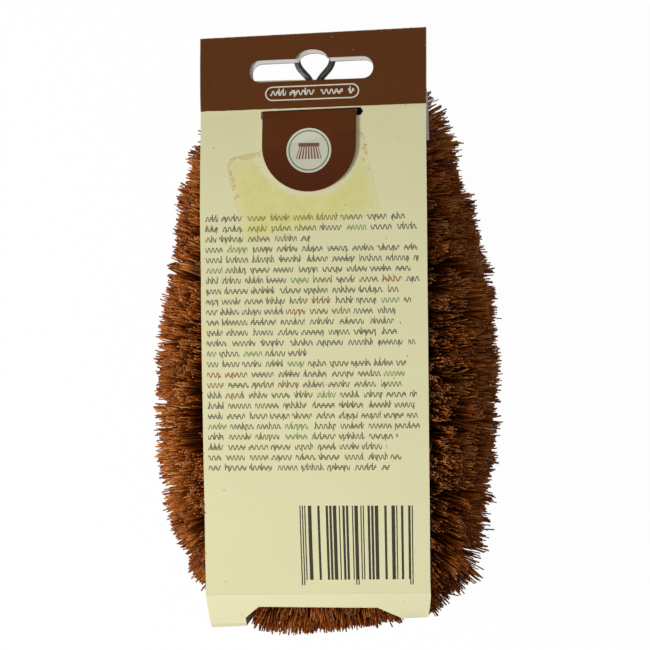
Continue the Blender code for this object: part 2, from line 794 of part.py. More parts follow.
def make_label(collection, surface):
    """The clear label over the tongue's round end, turned a little, with round corners."""
    bm = bmesh.new()
    half = (LABEL_WIDTH / 2, LABEL_HEIGHT / 2)
    corners = [(-1, -1), (1, -1), (1, 1), (-1, 1)]
    verts = [bm.verts.new((x * half[0], y * half[1], 0)) for x, y in corners]
    bm.faces.new(verts)
    bmesh.ops.bevel(bm, geom=verts, offset=LABEL_CORNER, segments=3, affect="VERTICES", profile=0.5)
    turn = Matrix.Rotation(LABEL_TURN, 3, "Z")
    bmesh.ops.rotate(bm, matrix=turn, verts=bm.verts)
    bmesh.ops.translate(bm, vec=Vector((LABEL_CENTRE_X, LABEL_CENTRE_Y, 0)), verts=bm.verts)
    low = min(v.co.y for v in bm.verts)
    high = max(v.co.y for v in bm.verts)
    for row in range(1, LABEL_ROWS):
        y = low + (high - low) * row / LABEL_ROWS
        geom = bm.verts[:] + bm.edges[:] + bm.faces[:]
        bmesh.ops.bisect_plane(bm, geom=geom, plane_co=(0, y, 0), plane_no=(0, 1, 0))
    for vert in bm.verts:
        vert.co.z = roof_point(vert.co.y, LABEL_LIFT)[1]
    bmesh.ops.triangulate(bm, faces=bm.faces)
    piece = object_from(bm, "clear_label", collection, surface)
    hang_on_axis(piece, hinge_point())
    solidify(piece, LABEL_THICKNESS)
    return piece


def face_up(piece):
    """Turn an open sheet's faces to the side on which its thickness is added."""
    bm = bmesh.new()
    bm.from_mesh(piece.data)
    if sum(f.normal.z for f in bm.faces) < 0:
        bmesh.ops.reverse_faces(bm, faces=bm.faces)
    bm.to_mesh(piece.data)
    bm.free()


def face_out(piece):
    """Turn the sleeve's faces outwards, judged on its front panel."""
    bm = bmesh.new()
    bm.from_mesh(piece.data)
    front = min(bm.faces, key=lambda f: f.calc_center_median().z)
    if front.normal.z > 0:
        bmesh.ops.reverse_faces(bm, faces=bm.faces)
    bm.to_mesh(piece.data)
    bm.free()


def build():
    """Make every piece of the brush."""
    clear_scene()
    brush = new_collection("scrub_brush")
    cutters = new_collection("cutters")
    make_wire(brush, material("galvanised_wire", (0.29, 0.29, 0.25), 0.42, 0.9))
    make_bundles(brush)
    sleeve = make_sleeve(brush, cutters, material("cream_card", (0.69, 0.64, 0.38), 0.75, 0))
    face_out(sleeve)
    tongue = make_tongue(brush, material("brown_card", (0.105, 0.034, 0.011), 0.6, 0))
    face_up(tongue)
    label = make_label(brush, material("clear_film", (0.8, 0.78, 0.6), 0.2, 0))
    face_up(label)
    bpy.context.view_layer.update()


build()
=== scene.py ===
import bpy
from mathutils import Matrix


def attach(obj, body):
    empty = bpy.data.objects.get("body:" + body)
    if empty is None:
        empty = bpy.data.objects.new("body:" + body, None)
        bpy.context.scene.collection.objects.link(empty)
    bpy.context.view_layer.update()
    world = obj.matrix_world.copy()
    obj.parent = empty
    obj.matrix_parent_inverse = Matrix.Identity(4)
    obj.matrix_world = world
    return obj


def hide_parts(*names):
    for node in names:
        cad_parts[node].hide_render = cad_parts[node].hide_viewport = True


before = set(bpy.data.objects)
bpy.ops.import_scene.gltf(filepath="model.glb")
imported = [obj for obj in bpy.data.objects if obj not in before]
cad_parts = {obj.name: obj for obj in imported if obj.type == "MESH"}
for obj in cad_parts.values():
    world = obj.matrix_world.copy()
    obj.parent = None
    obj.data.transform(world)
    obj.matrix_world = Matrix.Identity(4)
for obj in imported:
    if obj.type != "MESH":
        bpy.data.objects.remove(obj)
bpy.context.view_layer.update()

import math

import bpy
import numpy as np
from mathutils import Matrix, Vector

# The wire: one length of galvanised steel, folded into a hairpin with a hanging eye at
# its bend, its legs twisted together over the coir and one free end bound round the neck.


def math_node(operation):
    """A function that feeds its values to a new Math node and gives back the result."""

    def reckon(*values):
        tree = next(value.tree for value in values if isinstance(value, Field))
        made = tree.nodes.new("ShaderNodeMath")
        made.operation = operation
        for slot, value in zip(made.inputs, values):
            feed(slot, value)
        return Field(made.outputs[0])

    return reckon


class Field:
    """A node's output to reckon with: each sign used on it adds a Math node to its tree."""

    def __init__(self, socket):
        self.socket, self.tree = socket, socket.id_data

    def __rsub__(self, other):
        return math_node("SUBTRACT")(other, self)

    __add__, __sub__, __mod__ = math_node("ADD"), math_node("SUBTRACT"), math_node("FLOORED_MODULO")
    __mul__, __truediv__, __pow__ = math_node("MULTIPLY"), math_node("DIVIDE"), math_node("POWER")
    __lt__, __gt__ = math_node("LESS_THAN"), math_node("GREATER_THAN")
    __and__, __or__ = math_node("MINIMUM"), math_node("MAXIMUM")
    __abs__, __floor__, fract = math_node("ABSOLUTE"), math_node("FLOOR"), math_node("FRACT")
    root, sine, cosine = math_node("SQRT"), math_node("SINE"), math_node("COSINE")
    soft_least, soft_most = math_node("SMOOTH_MIN"), math_node("SMOOTH_MAX")


def feed(slot, value):
    """Give an input socket a field, a number, a vector or a linear colour."""
    if isinstance(value, Field):
        slot.id_data.links.new(value.socket, slot)
    else:
        slot.default_value = (*value, 1) if slot.type == "RGBA" else value


def set_up(node, inputs):
    """Feed a node's inputs, each called by its name or number."""
    for key, value in inputs.items():
        feed(node.inputs[key], value)


def add_node(tree, kind, inputs, **settings):
    """A new node with its settings and inputs, giving back its outputs by name."""
    made = tree.nodes.new(kind)
    for key, value in settings.items():
        setattr(made, key, value)
    set_up(made, inputs)
    return {socket.name: Field(socket) for socket in made.outputs}


def new_material(name):
    """A material, its node tree and its Principled shader."""
    finish = bpy.data.materials.new(name)
    finish.use_nodes = True
    return finish, finish.node_tree, finish.node_tree.nodes["Principled BSDF"]


def mix(share, first, second, blend="MIX"):
    """A blend of two colours, each a field or a plain linear colour."""
    tree = next(value.tree for value in (share, first, second) if isinstance(value, Field))
    made = tree.nodes.new("ShaderNodeMix")
    made.data_type, made.blend_type = "RGBA", blend
    set_up(made, {0: share, 6: first, 7: second})
    return Field(made.outputs[2])


def noise(place, scale, detail=3.0, rough=0.5):
    """Soft noise over a place, as a value."""
    inputs = {"Vector": place, "Scale": scale, "Detail": detail, "Roughness": rough}
    return add_node(place.tree, "ShaderNodeTexNoise", inputs)["Fac"]


def bump(shader, height, strength, distance):
    """Feed a height to the shader's normal."""
    inputs = {"Strength": strength, "Distance": distance, "Height": height}
    feed(shader.inputs["Normal"], add_node(height.tree, "ShaderNodeBump", inputs)["Normal"])


def object_place(tree):
    """The place on the piece, in metres."""
    return add_node(tree, "ShaderNodeTexCoord", {})["Object"]


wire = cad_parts["core_wire"]
zinc, tree, shader = new_material("galvanised_wire")
place = object_place(tree)
spangle = noise(place, 900, 4)
colour = mix(spangle, (0.040, 0.044, 0.036), (0.150, 0.158, 0.134))
colour = mix(noise(place, 180, 2) * 0.45, colour, (0.085, 0.085, 0.070))
set_up(shader, {"Base Color": colour, "Metallic": 0.85, "Roughness": spangle * 0.3 + 0.36})
bump(shader, spangle, 0.25, 0.0001)
wire.data.materials.clear()
wire.data.materials.append(zinc)
weld = wire.modifiers.new("weld", "WELD")
weld.merge_threshold = 0.00001
round_off = wire.modifiers.new("round_off", "SUBSURF")
round_off.levels = round_off.render_levels = 1
swell = wire.modifiers.new("full_size", "DISPLACE")
swell.strength = 0.00013
swell.mid_level = 0

# The coir: stiff coconut fibre clamped between the twisted legs, which stands out all
# round the ring, is trimmed to one length and is pressed together inside the card.

CORE_Z = 0.02525
REACH = 0.0246
# The ring's right half, from the neck down to the far bend.
RING = [
    (0.0034, 0.0662), (0.0112, 0.0583), (0.0174, 0.0458), (0.0214, 0.0290), (0.0239, 0.0085),
    (0.0248, -0.0130), (0.0241, -0.0312), (0.0211, -0.0454), (0.0133, -0.0533), (0.0, -0.0557),
]
KNOT_STEPS = 20
NECK_X = 0.0048
BUNDLES = 7
STRANDS = 4200
STRAND_RADIUS = 0.00024
STRAND_SHARES = np.array([0, 0.38, 0.72, 1.0])
ROOT_OUTER, ROOT_INNER = 0.0112, 0.0029
# What is trimmed off the reach on either side, how the strands lean along the ring, and
# where they part to a dark groove.
TRIM_Y = [
    -0.068, -0.058, -0.050, -0.0465, -0.043, -0.030, -0.018, -0.005,
    0.005, 0.015, 0.025, 0.035, 0.050, 0.060, 0.066,
]
TRIM_LEFT = [
    -0.0012, -0.0008, 0.0022, 0.0028, 0.0029, 0.0024, 0.0019, 0.0022,
    0.0025, 0.0032, 0.0040, 0.0036, 0.0028, 0.0020, 0.0015,
]
TRIM_RIGHT = [
    0.0010, -0.0010, 0.0002, -0.0024, 0.0021, 0.0022, 0.0007, 0.0003,
    0.0003, 0.0004, 0.0008, 0.0016, 0.0032, -0.0004, -0.0026,
]
LEAN_S = [0.0, 0.012, 0.022, 0.035, 0.055, 0.080, 0.110]
LEAN_LEFT = [0.20, 0.26, 0.10, -0.22, -0.26, -0.06, 0.05]
LEAN_RIGHT = [0.12, 0.34, 0.34, 0.18, 0.05, 0.02, -0.04]
PARTED_LEFT = ((0.0290, 0.0011), (0.0256, 0.0010))
PARTED_RIGHT = ((-0.0171, 0.0013),)

# The card's inside, which the fibre is pressed against, and how far it comes out of it.
CARD, CARD_HALF = 0.00045, 0.0310
BACK_Z, BACK_RADIUS, BACK_MIDDLE = 0.05005, 0.3116, 0.0031
CREASE_Y, CREASE_Z = 0.0706, 0.04265
BASE_CREASE_Y, BASE_CREASE_Z = -0.0644, 0.04265
WALL_TOP_Y, WALL_TOP_Z, WALL_Y = -0.0728, 0.0335, -0.0729
TOP_CURL, BASE_CURL = (0.0460, 0.0792, 0.02525), (-0.0560, -0.0733, 0.0165)
WINDOW_X, WINDOW_HALF, WINDOW_LOW, WINDOW_HIGH = -0.0006, 0.0214, 0.0135, 0.0366
BRUSH_HALF, BRUSH_END_Y, PAST_WINDOW_Y = 0.0510, -0.0784, -0.0786
LUG_Y, LUG_Z, LUG_SLOPE, BRUSH_TOP_Y = 0.0612, 0.0418, 0.1405, 0.0765


def ring_line():
    """Points from the neck down the ring's right half and up its left, with their lengths."""
    knots = [Vector(p) for p in RING]
    knots += [Vector((-p.x, p.y)) for p in reversed(knots[:-1])]
    ends = [knots[0] * 2 - knots[1]] + knots + [knots[-1] * 2 - knots[-2]]
    line = []
    for a, b, c, d in zip(ends, ends[1:], ends[2:], ends[3:]):
        for step in range(KNOT_STEPS):
            t = step / KNOT_STEPS
            even = (a * 2 - b * 5 + c * 4 - d) * t**2 + (b * 3 - a - c * 3 + d) * t**3
            line.append((b * 2 + (c - a) * t + even) / 2)
    line = np.array([tuple(p) for p in line])
    lengths = np.concatenate([[0], np.cumsum(np.linalg.norm(np.diff(line, axis=0), axis=1))])
    return line, lengths


line, lengths = ring_line()
half_length = lengths[(len(RING) - 1) * KNOT_STEPS]
near_neck = slice(0, 5 * KNOT_STEPS)
first_s = float(np.interp(NECK_X, line[near_neck, 0], lengths[near_neck]))
bundle_run = (half_length - first_s) / BUNDLES


def ring_at(s):
    """Points of the ring and their outward directions, in the plane of the ring."""
    here, ahead, behind = (
        np.stack([np.interp(s + step, lengths, line[:, i]) for i in (0, 1)], 1) for step in (0, 0.001, -0.001)
    )
    along = ahead - behind
    along /= np.linalg.norm(along, axis=1, keepdims=True)
    return here, np.stack([-along[:, 1], along[:, 0]], 1)


def roof_height(y):
    """Inner height of the back panel, of the flap's ends under its top and of its shoulder."""
    from_middle = np.clip(y, BASE_CREASE_Y, CREASE_Y) - BACK_MIDDLE
    bow = BACK_Z - BACK_RADIUS + np.sqrt(BACK_RADIUS**2 - from_middle**2)
    slope = (BASE_CREASE_Z - WALL_TOP_Z) / (BASE_CREASE_Y - WALL_TOP_Y)
    shoulder = BASE_CREASE_Z + (y - BASE_CREASE_Y) * slope
    lug = LUG_Z - (y - CREASE_Y) * LUG_SLOPE
    return np.where(y < BASE_CREASE_Y, shoulder, np.where(y > LUG_Y, lug, bow))


def floor_height(y):
    """Inner height of the front panel and of the curls at its two ends."""
    height = CARD
    for start_y, end_y, end_z in (TOP_CURL, BASE_CURL):
        share = np.clip((y - start_y) / (end_y - start_y), 0, 0.999)
        height = height + (end_z - CARD) * (1 - np.sqrt(1 - share**2))
    return height


def strand_lines(rng, start, trims, leans, partings, hand):
    """Four points along each strand of a bundle, and each strand's tone; the hand is -1
    where the bundle is turned over to the left side afterwards."""
    clumps = STRANDS // 13
    clump_s = start + rng.random(clumps) * bundle_run
    clump_turn = rng.uniform(-3.12, 3.12, clumps)
    clump_tone = rng.normal(0, 0.14, clumps)
    clump_pull = rng.uniform(0.55, 0.95, clumps)
    clump_lean = rng.normal(0, 0.0013, (clumps, 3))
    clump_reach = rng.normal(0, 0.0004, clumps)
    own = rng.integers(0, clumps, STRANDS)
    s = clump_s[own] + rng.normal(0, 0.0013, STRANDS)
    s = np.clip(s, start + 0.0001, start + bundle_run - 0.0001)
    turn = clump_turn[own] + rng.normal(0, 0.085, STRANDS)
    reach = REACH + clump_reach[own] + rng.normal(0, 0.00022, STRANDS)
    reach -= np.interp(ring_at(s)[0][:, 1], TRIM_Y, trims) * np.maximum(np.cos(turn), 0)
    reach -= (rng.random(STRANDS) < 0.14) * rng.random(STRANDS) * 0.005
    lean = np.interp(s, LEAN_S, leans) + rng.normal(0, 0.05, STRANDS)
    lean -= np.clip(1 - (s - first_s) / 0.0035, 0, 1) * rng.uniform(0.1, 0.8, STRANDS)

    def tips(at, angle, length, slant):
        """Where strands of a length end, held off the ring's middle plane."""
        centre, out = ring_at(at)
        inward = np.maximum(-np.cos(angle), 0)
        room = np.where(out[:, 0] > 0.05, (centre[:, 0] + 0.0012) / np.maximum(out[:, 0], 0.05), 0.03)
        length = np.minimum(length, np.where(inward > 0.02, room / np.maximum(inward, 0.02), 1))
        point = np.zeros((len(at), 3))
        outward = np.cos(angle) * length
        point[:, :2] = centre + out * outward[:, None]
        down = np.stack([out[:, 1], -out[:, 0]], 1)
        point[:, :2] += down * (slant * np.maximum(outward, 0))[:, None]
        point[:, 2] = CORE_Z + np.sin(angle) * length
        return point

    root = tips(s, turn, rng.uniform(0.0085, 0.0105, STRANDS), lean)
    tip = tips(s, turn, reach, lean)
    goal = tips(clump_s[own], clump_turn[own], reach, lean) + clump_lean[own]
    from_end = np.minimum(s - start, start + bundle_run - s)
    pull = clump_pull[own] * np.clip(from_end / 0.0025, 0.3, 0.82)
    tip += (goal - tip) * pull[:, None]
    tip += rng.normal(0, 0.00038, (STRANDS, 3))
    for at, wide in partings:
        gap = tip[:, 1] - at
        tip[:, 1] += np.sign(gap) * np.maximum(wide - np.abs(gap), 0) * 0.9
    tip[:, 0] = np.maximum(tip[:, 0], -0.0011)
    bow = rng.normal(0, 0.0006, (STRANDS, 3))
    bow[rng.random(STRANDS) < 0.02] *= 4
    lines = root[:, None] + (tip - root)[:, None] * STRAND_SHARES[None, :, None]
    lines += bow[:, None] * (STRAND_SHARES * (1.2 - STRAND_SHARES) * 2)[None, :, None]
    darker = np.interp(s, [0.106, 0.118], [0, 0.16])
    tone = 0.5 + clump_tone[own] + rng.normal(0, 0.16, STRANDS) - darker
    return press(lines, hand, rng), np.clip(tone, 0.02, 0.98)


def press(lines, hand, rng):
    """Push the strands back inside the card, except where its base window is open."""
    run = lines[:, -1:] - lines[:, :1]
    cross = np.clip((CARD_HALF - lines[:, :1, :1]) / np.maximum(run[..., :1], 1e-6), 0, 1)
    probe = np.concatenate([lines, lines[:, :1] + run * cross], axis=1)
    x, y, z = probe[..., 0], probe[..., 1], probe[..., 2]
    under = np.abs(x) < CARD_HALF + 0.0004
    spare = 0.0003 + rng.random(len(lines))[:, None] * 0.0007

    # Between the panels.
    rise = z - CORE_Z
    top = (roof_height(y) - spare - CORE_Z) / np.maximum(rise, 1e-6)
    low = (floor_height(y) + spare - CORE_Z) / np.minimum(rise, -1e-6)
    share = np.where(under & (rise > 0), np.minimum(top, 1), 1)
    share = np.where(under & (rise < 0), np.minimum(low, share), share)
    share = np.clip(share.min(axis=1, keepdims=True), 0.1, 1)
    lines[..., 2] = np.clip(CORE_Z + rise[:, :-1] * share, 0.0006, 0.0501)

    # Out through the window, where the ends are worn to an uneven row.
    first, last = lines[:, :1], lines[:, -1:]
    down = np.minimum(last[..., 1] - first[..., 1], -1e-6)
    gate = first + (last - first) * np.maximum((WALL_Y - first[..., 1]) / down, 0)[..., None]
    window = np.abs(gate[..., 0] * hand - WINDOW_X) < WINDOW_HALF
    window &= (gate[..., 2] > WINDOW_LOW) & (gate[..., 2] < WINDOW_HIGH)
    aside = last[..., 0] * hand + 0.0077
    left_rise, right_rise = np.abs(aside / 0.0133) ** 3 * 0.0020, np.abs(aside) / 0.025 * 0.0034
    rise = np.where(aside < 0, left_rise, right_rise)
    above = np.clip((gate[..., 2] - 0.0220) / 0.0140, 0, 1) * 0.0013
    deepest = BRUSH_END_Y + rise + above + rng.uniform(-0.0004, 0.0008, (len(lines), 1))
    past = (deepest - first[..., 1]) / down
    past = np.where(window & (last[..., 1] < deepest), past, 1)[..., None]
    lines = first + (lines - first) * past
    stray = rng.normal(0, 0.0004, (len(lines), 1, 3))
    lines[:, 1:] += (past < 1) * stray * np.array([0.4, 0.8, 1])[:, None]

    # Off the sides and the base wall.
    aside = lines[:, -1:, 0] - lines[:, :1, 0]
    inside = (BRUSH_HALF - lines[:, :1, 0] - spare * 0.7) / np.maximum(aside, 1e-6)
    lines = lines[:, :1] + (lines - lines[:, :1]) * np.minimum(inside, 1)[..., None]
    leaning = np.maximum(lines[..., 0] * hand, 0) * 0.050
    wall = np.where(window, PAST_WINDOW_Y, WALL_Y + spare + leaning)
    under = np.abs(lines[..., 0]) < CARD_HALF + 0.0004
    held = np.clip(lines[..., 1], wall, BRUSH_TOP_Y - spare)
    lines[..., 1] = np.where(under, held, lines[..., 1])
    return lines


def strand_mesh(name, lines, tone, rng):
    """Three-sided strands, each closed at both ends, with tone and run as its UV map."""
    count, rings = lines.shape[:2]
    run = lines[:, -1] - lines[:, 0]
    run /= np.linalg.norm(run, axis=1, keepdims=True)
    side = np.cross(run, rng.normal(0, 1, (count, 3)))
    side /= np.linalg.norm(side, axis=1, keepdims=True)
    across = np.cross(run, side)
    width = STRAND_RADIUS * rng.uniform(0.7, 1.25, count)
    slim = np.array([1.1, 1.05, 1.0, 0.9])
    verts = np.empty((count, rings, 3, 3), np.float32)
    for corner in range(3):
        angle = corner * 2 * math.pi / 3
        ray = side * math.cos(angle) + across * math.sin(angle)
        verts[:, :, corner] = lines + ray[:, None] * (width[:, None] * slim)[..., None]
    base = (np.arange(count) * rings * 3)[:, None]
    quads = []
    for ring in range(rings - 1):
        for corner in range(3):
            a, b = ring * 3 + corner, ring * 3 + (corner + 1) % 3
            quads.append(base + np.array([a, b, b + 3, a + 3]))
    walls = len(quads)
    quads = np.stack(quads, 1).reshape(-1, 4)
    last = rings * 3 - 3
    tip_faces, root_faces = base + np.array([last, last + 1, last + 2]), base + np.array([2, 1, 0])
    loops = np.concatenate([quads.ravel(), tip_faces.ravel(), root_faces.ravel()])
    sizes = np.concatenate([np.full(len(quads), 4), np.full(count * 2, 3)])
    mesh = bpy.data.meshes.new(name)
    mesh.vertices.add(verts.size // 3)
    mesh.vertices.foreach_set("co", verts.ravel())
    mesh.loops.add(len(loops))
    mesh.loops.foreach_set("vertex_index", loops.astype(np.int32))
    mesh.polygons.add(len(sizes))
    mesh.polygons.foreach_set("loop_start", (np.cumsum(sizes) - sizes).astype(np.int32))
    mesh.update(calc_edges=True)

    chart = np.empty((len(loops), 2), np.float32)
    steps = np.array([0.02, 0.33, 0.66, 0.955])
    ups = np.empty((walls, 4))
    for ring in range(rings - 1):
        ups[ring * 3 : ring * 3 + 3] = [steps[ring], steps[ring], steps[ring + 1], steps[ring + 1]]
    end = count * walls * 4
    tones = np.repeat(tone, walls * 4).reshape(count, walls, 4)
    chart[:end, 0] = (tones + np.array([0, 0.004, 0.004, 0])).ravel()
    chart[:end, 1] = np.tile(ups, (count, 1, 1)).ravel()
    chart[end:, 0] = np.tile((tone[:, None] + np.array([0, 0.004, 0.002])).ravel(), 2)
    tip_run, root_run = [0.975, 0.975, 0.995], [0.002, 0.002, 0.012]
    chart[end:, 1] = np.concatenate([np.tile(tip_run, count), np.tile(root_run, count)])
    layer = mesh.uv_layers.new(name="OFBake")
    layer.data.foreach_set("uv", chart.ravel())
    return mesh


def stretched(place, scale):
    """A place scaled along its own axes."""
    return add_node(place.tree, "ShaderNodeMapping", {"Vector": place, "Scale": scale})["Vector"]


def uv_place(tree, name):
    """The place on a UV map."""
    return add_node(tree, "ShaderNodeUVMap", {}, uv_map=name)["UV"]


def split(whole, kind="XYZ"):
    """The three parts of a vector, or of a colour."""
    return list(add_node(whole.tree, f"ShaderNodeSeparate{kind}", {0: whole}).values())


def join(*parts, kind="XYZ"):
    """A vector or colour from its parts."""
    tree = next(value.tree for value in parts if isinstance(value, Field))
    return list(add_node(tree, f"ShaderNodeCombine{kind}", dict(enumerate(parts))).values())[0]


coir, tree, shader = new_material("coir_fibre")
chart = uv_place(tree, "OFBake")
tone_value, run_value, _ = split(chart)
ramp = tree.nodes.new("ShaderNodeValToRGB")
stops = [
    (0.0, (0.070, 0.014, 0.001)), (0.28, (0.200, 0.046, 0.004)), (0.55, (0.360, 0.094, 0.010)),
    (0.80, (0.510, 0.178, 0.028)), (1.0, (0.650, 0.320, 0.100)),
]
while len(ramp.color_ramp.elements) < len(stops):
    ramp.color_ramp.elements.new(0.5)
for element, (at, shade) in zip(ramp.color_ramp.elements, stops):
    element.position = at
    element.color = (*shade, 1)
feed(ramp.inputs[0], tone_value)
mottle = noise(stretched(chart, (260, 9, 1)), 1, 2)
colour = mix(mottle, (0.62, 0.55, 0.48), (1.25, 1.22, 1.18))
colour = mix(1.0, Field(ramp.outputs[0]), colour, "MULTIPLY")
# Painted shade: each strand darkens towards its root, standing for the shade deep inside the brush.
depth = (run_value * 0.95 + 0.22).soft_least(1.0, 0.1)
colour = mix(1.0, colour, join(depth, depth, depth, kind="Color"), "MULTIPLY")
cut_end = (run_value > 0.965) * 0.8 * (tone_value * 61).fract()
colour = mix(cut_end, colour, (0.52, 0.33, 0.17))
set_up(shader, {"Base Color": colour, "Roughness": 0.45, "Specular IOR Level": 0.09})

# The bundles' middles round the wire get a near-black fibre colour, which is painted shade for the depth
# between the strands.
core_shade, tree, shader = new_material("coir_root")
fleck = noise(object_place(tree), 1500, 3)
colour = mix(fleck, (0.020, 0.006, 0.001), (0.110, 0.036, 0.009))
set_up(shader, {"Base Color": colour, "Roughness": 0.9})
bump(shader, fleck, 0.8, 0.0004)


def root_body(name, start):
    """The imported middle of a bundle, a tube round the wire that closes on itself."""
    steps, sides = 9, 20
    points, faces = [], []
    s = np.linspace(start + 0.0002, start + bundle_run - 0.0002, steps)
    centre, out = ring_at(s)
    for full in (ROOT_OUTER, ROOT_INNER):
        for i in range(steps):
            radius = full * min(1, 0.35 + 0.25 * i) if start == first_s else full
            room = centre[i, 0] / out[i, 0] if out[i, 0] > 0.05 else 0.03
            for j in range(sides):
                angle = 2 * math.pi * j / sides
                outward = max(math.cos(angle) * radius, 0.0004 - room)
                spot = centre[i] + out[i] * outward
                points.append((spot[0], spot[1], CORE_Z + math.sin(angle) * radius))
    inner = steps * sides
    for j in range(sides):
        k = (j + 1) % sides
        for row in range(0, inner - sides, sides):
            a, b = row + j, row + k
            faces.append((a, b, b + sides, a + sides))
            faces.append((inner + b, inner + a, inner + a + sides, inner + b + sides))
        faces.append((j, inner + j, inner + k, k))
        a, b = inner - sides + j, inner - sides + k
        faces.append((a, b, inner + b, inner + a))
    mesh = bpy.data.meshes.new(name)
    mesh.from_pydata(points, [], faces)
    return mesh


for k in range(BUNDLES):
    for mirrored in (False, True):
        number = k + 1 + (BUNDLES if mirrored else 0)
        rng = np.random.default_rng(500 + number)
        start = first_s + bundle_run * k
        sides = (TRIM_RIGHT, LEAN_RIGHT, PARTED_RIGHT, 1)
        if mirrored:
            sides = (TRIM_LEFT, LEAN_LEFT, PARTED_LEFT, -1)
        lines, tone = strand_lines(rng, start, *sides)
        mesh = strand_mesh(f"coir_{number:02d}", lines, tone, rng)
        root = root_body(f"coir_root_{number:02d}", start)
        for data, finish in ((mesh, coir), (root, core_shade)):
            data.materials.append(finish)
            if mirrored:
                data.transform(Matrix.Scale(-1, 4, (1, 0, 0)))
                data.flip_normals()
            piece = bpy.data.objects.new(data.name, data)
            bpy.context.scene.collection.objects.link(piece)
            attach(piece, "brush")
        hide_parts(f"coir_bundle_{number:02d}")

# The card sleeve: one die-cut strip of white-backed board, printed outside, that runs from
# the header down the back, under the base and up the front, then folds over the wire's eye
# and comes back inside as a bare flap, whose middle rises through a slot to the tongue.

TILT = math.radians(8)
HEADER_TOP = 0.0207
FLAP_DEPTH, FRONT_DEPTH, FOLD_RADIUS, FOLD_REACH = 0.00075, 0.00325, 0.00125, 0.0190
TONGUE_LEFT, TONGUE_RIGHT = -0.0141, 0.0119
SLOT_LEFT, SLOT_RIGHT = -0.0143, 0.0138
RISER_BEND, RISER_TOP = -0.00175, -0.00085
TONGUE_TURN = 0.019


def roof_at(y, lift=0.0):
    """A (y, z) point over the inner face of the bowed back panel."""
    return y, BACK_Z - BACK_RADIUS + math.sqrt((BACK_RADIUS + lift) ** 2 - (y - BACK_MIDDLE) ** 2)


def header_at(along, depth):
    """A (y, z) point past the header's crease, at a depth under its inner face."""
    y = CREASE_Y + along * math.cos(TILT) - depth * math.sin(TILT)
    return y, CREASE_Z - along * math.sin(TILT) - depth * math.cos(TILT)


def end_curl(start_y, end_y, end_z, steps):
    """The curl from the front panel up to one end of the sleeve."""
    turns = [math.pi / 2 * step / steps for step in range(1, steps + 1)]
    rise = end_z - CARD
    return [(start_y + (end_y - start_y) * math.sin(a), end_z - rise * math.cos(a)) for a in turns]


def take(piece):
    """Select one piece alone and make it the active one."""
    bpy.ops.object.select_all(action="DESELECT")
    piece.select_set(True)
    bpy.context.view_layer.objects.active = piece


def choose(piece, kind, wanted):
    """Go into edit mode with only a piece's wanted faces, edges or vertices selected."""
    bpy.ops.object.mode_set(mode="EDIT")
    bpy.ops.mesh.select_mode(type=kind)
    bpy.ops.mesh.select_all(action="DESELECT")
    bpy.ops.object.mode_set(mode="OBJECT")
    parts = {"VERT": piece.data.vertices, "EDGE": piece.data.edges, "FACE": piece.data.polygons}
    for part in parts[kind]:
        part.select = bool(wanted(part))
    bpy.ops.object.mode_set(mode="EDIT")


# The strip's own line, from the header's top edge to the flap's end.
strip = [header_at(HEADER_TOP * share, 0) for share in (1, 0.8, 0.6, 0.4, 0.2, 0.03)]
slot_row = len(strip) + 1
strip += [roof_at(y) for y in (0.07045, 0.0697, 0.0686, 0.0675)]
strip += [roof_at(y) for y in np.linspace(0.0665, BASE_CREASE_Y + 0.0004, 62)]
base_row = len(strip)
strip += [(-0.0650, 0.04195), (-0.0690, 0.03765), (-0.0724, 0.03400), (-0.07295, 0.03300)]
wall_row = len(strip) - 1
strip += [(-0.0731, 0.0250)] + end_curl(*BASE_CURL, 12)[::-1]
strip += [(BASE_CURL[0], CARD)] + [(y, CARD) for y in np.linspace(-0.0500, 0.0400, 10)]
front_end = len(strip)
strip += [(TOP_CURL[0], CARD)] + end_curl(*TOP_CURL, 14) + [(0.0786, 0.0318)]
front_header = len(strip)
strip += [header_at(along, FRONT_DEPTH) for along in (0.0073, 0.0110, 0.0150)]
for step in range(9):
    turn = math.pi * step / 8
    depth = (FRONT_DEPTH + FLAP_DEPTH) / 2 + FOLD_RADIUS * math.cos(turn)
    strip.append(header_at(FOLD_REACH + FOLD_RADIUS * math.sin(turn), depth))
flap_row = len(strip)
strip += [header_at(along, FLAP_DEPTH) for along in (0.0150, 0.0100, 0.0050, 0.0018)]
kerf_row = len(strip) - 1
strip += [header_at(along, FLAP_DEPTH) for along in (-0.0020, -0.0060, -0.0093)]
strip = np.array(strip)
run = np.concatenate([[0], np.cumsum(np.linalg.norm(np.diff(strip, axis=0), axis=1))])

columns = [-CARD_HALF, -0.0285, -0.0250, -0.0215, -0.0180, SLOT_LEFT, TONGUE_LEFT - 0.0001]
columns += [TONGUE_LEFT, -0.0105, -0.0070, -0.0035, 0.0, 0.0035, 0.0070, TONGUE_RIGHT]
columns += [TONGUE_RIGHT + 0.0003, SLOT_RIGHT, 0.0175, 0.0210, 0.0245, 0.0280, CARD_HALF]
columns = np.array(columns)
wide, long = len(columns), len(strip)

bpy.ops.object.select_all(action="DESELECT")
bpy.ops.mesh.primitive_grid_add(x_subdivisions=wide - 1, y_subdivisions=long - 1, size=1)
sleeve = bpy.context.object
sleeve.name = sleeve.data.name = "card_strip"
across = np.tile(columns, long)
number = np.repeat(np.arange(long), wide)
spots = np.stack([across, strip[number, 0], strip[number, 1]], 1)

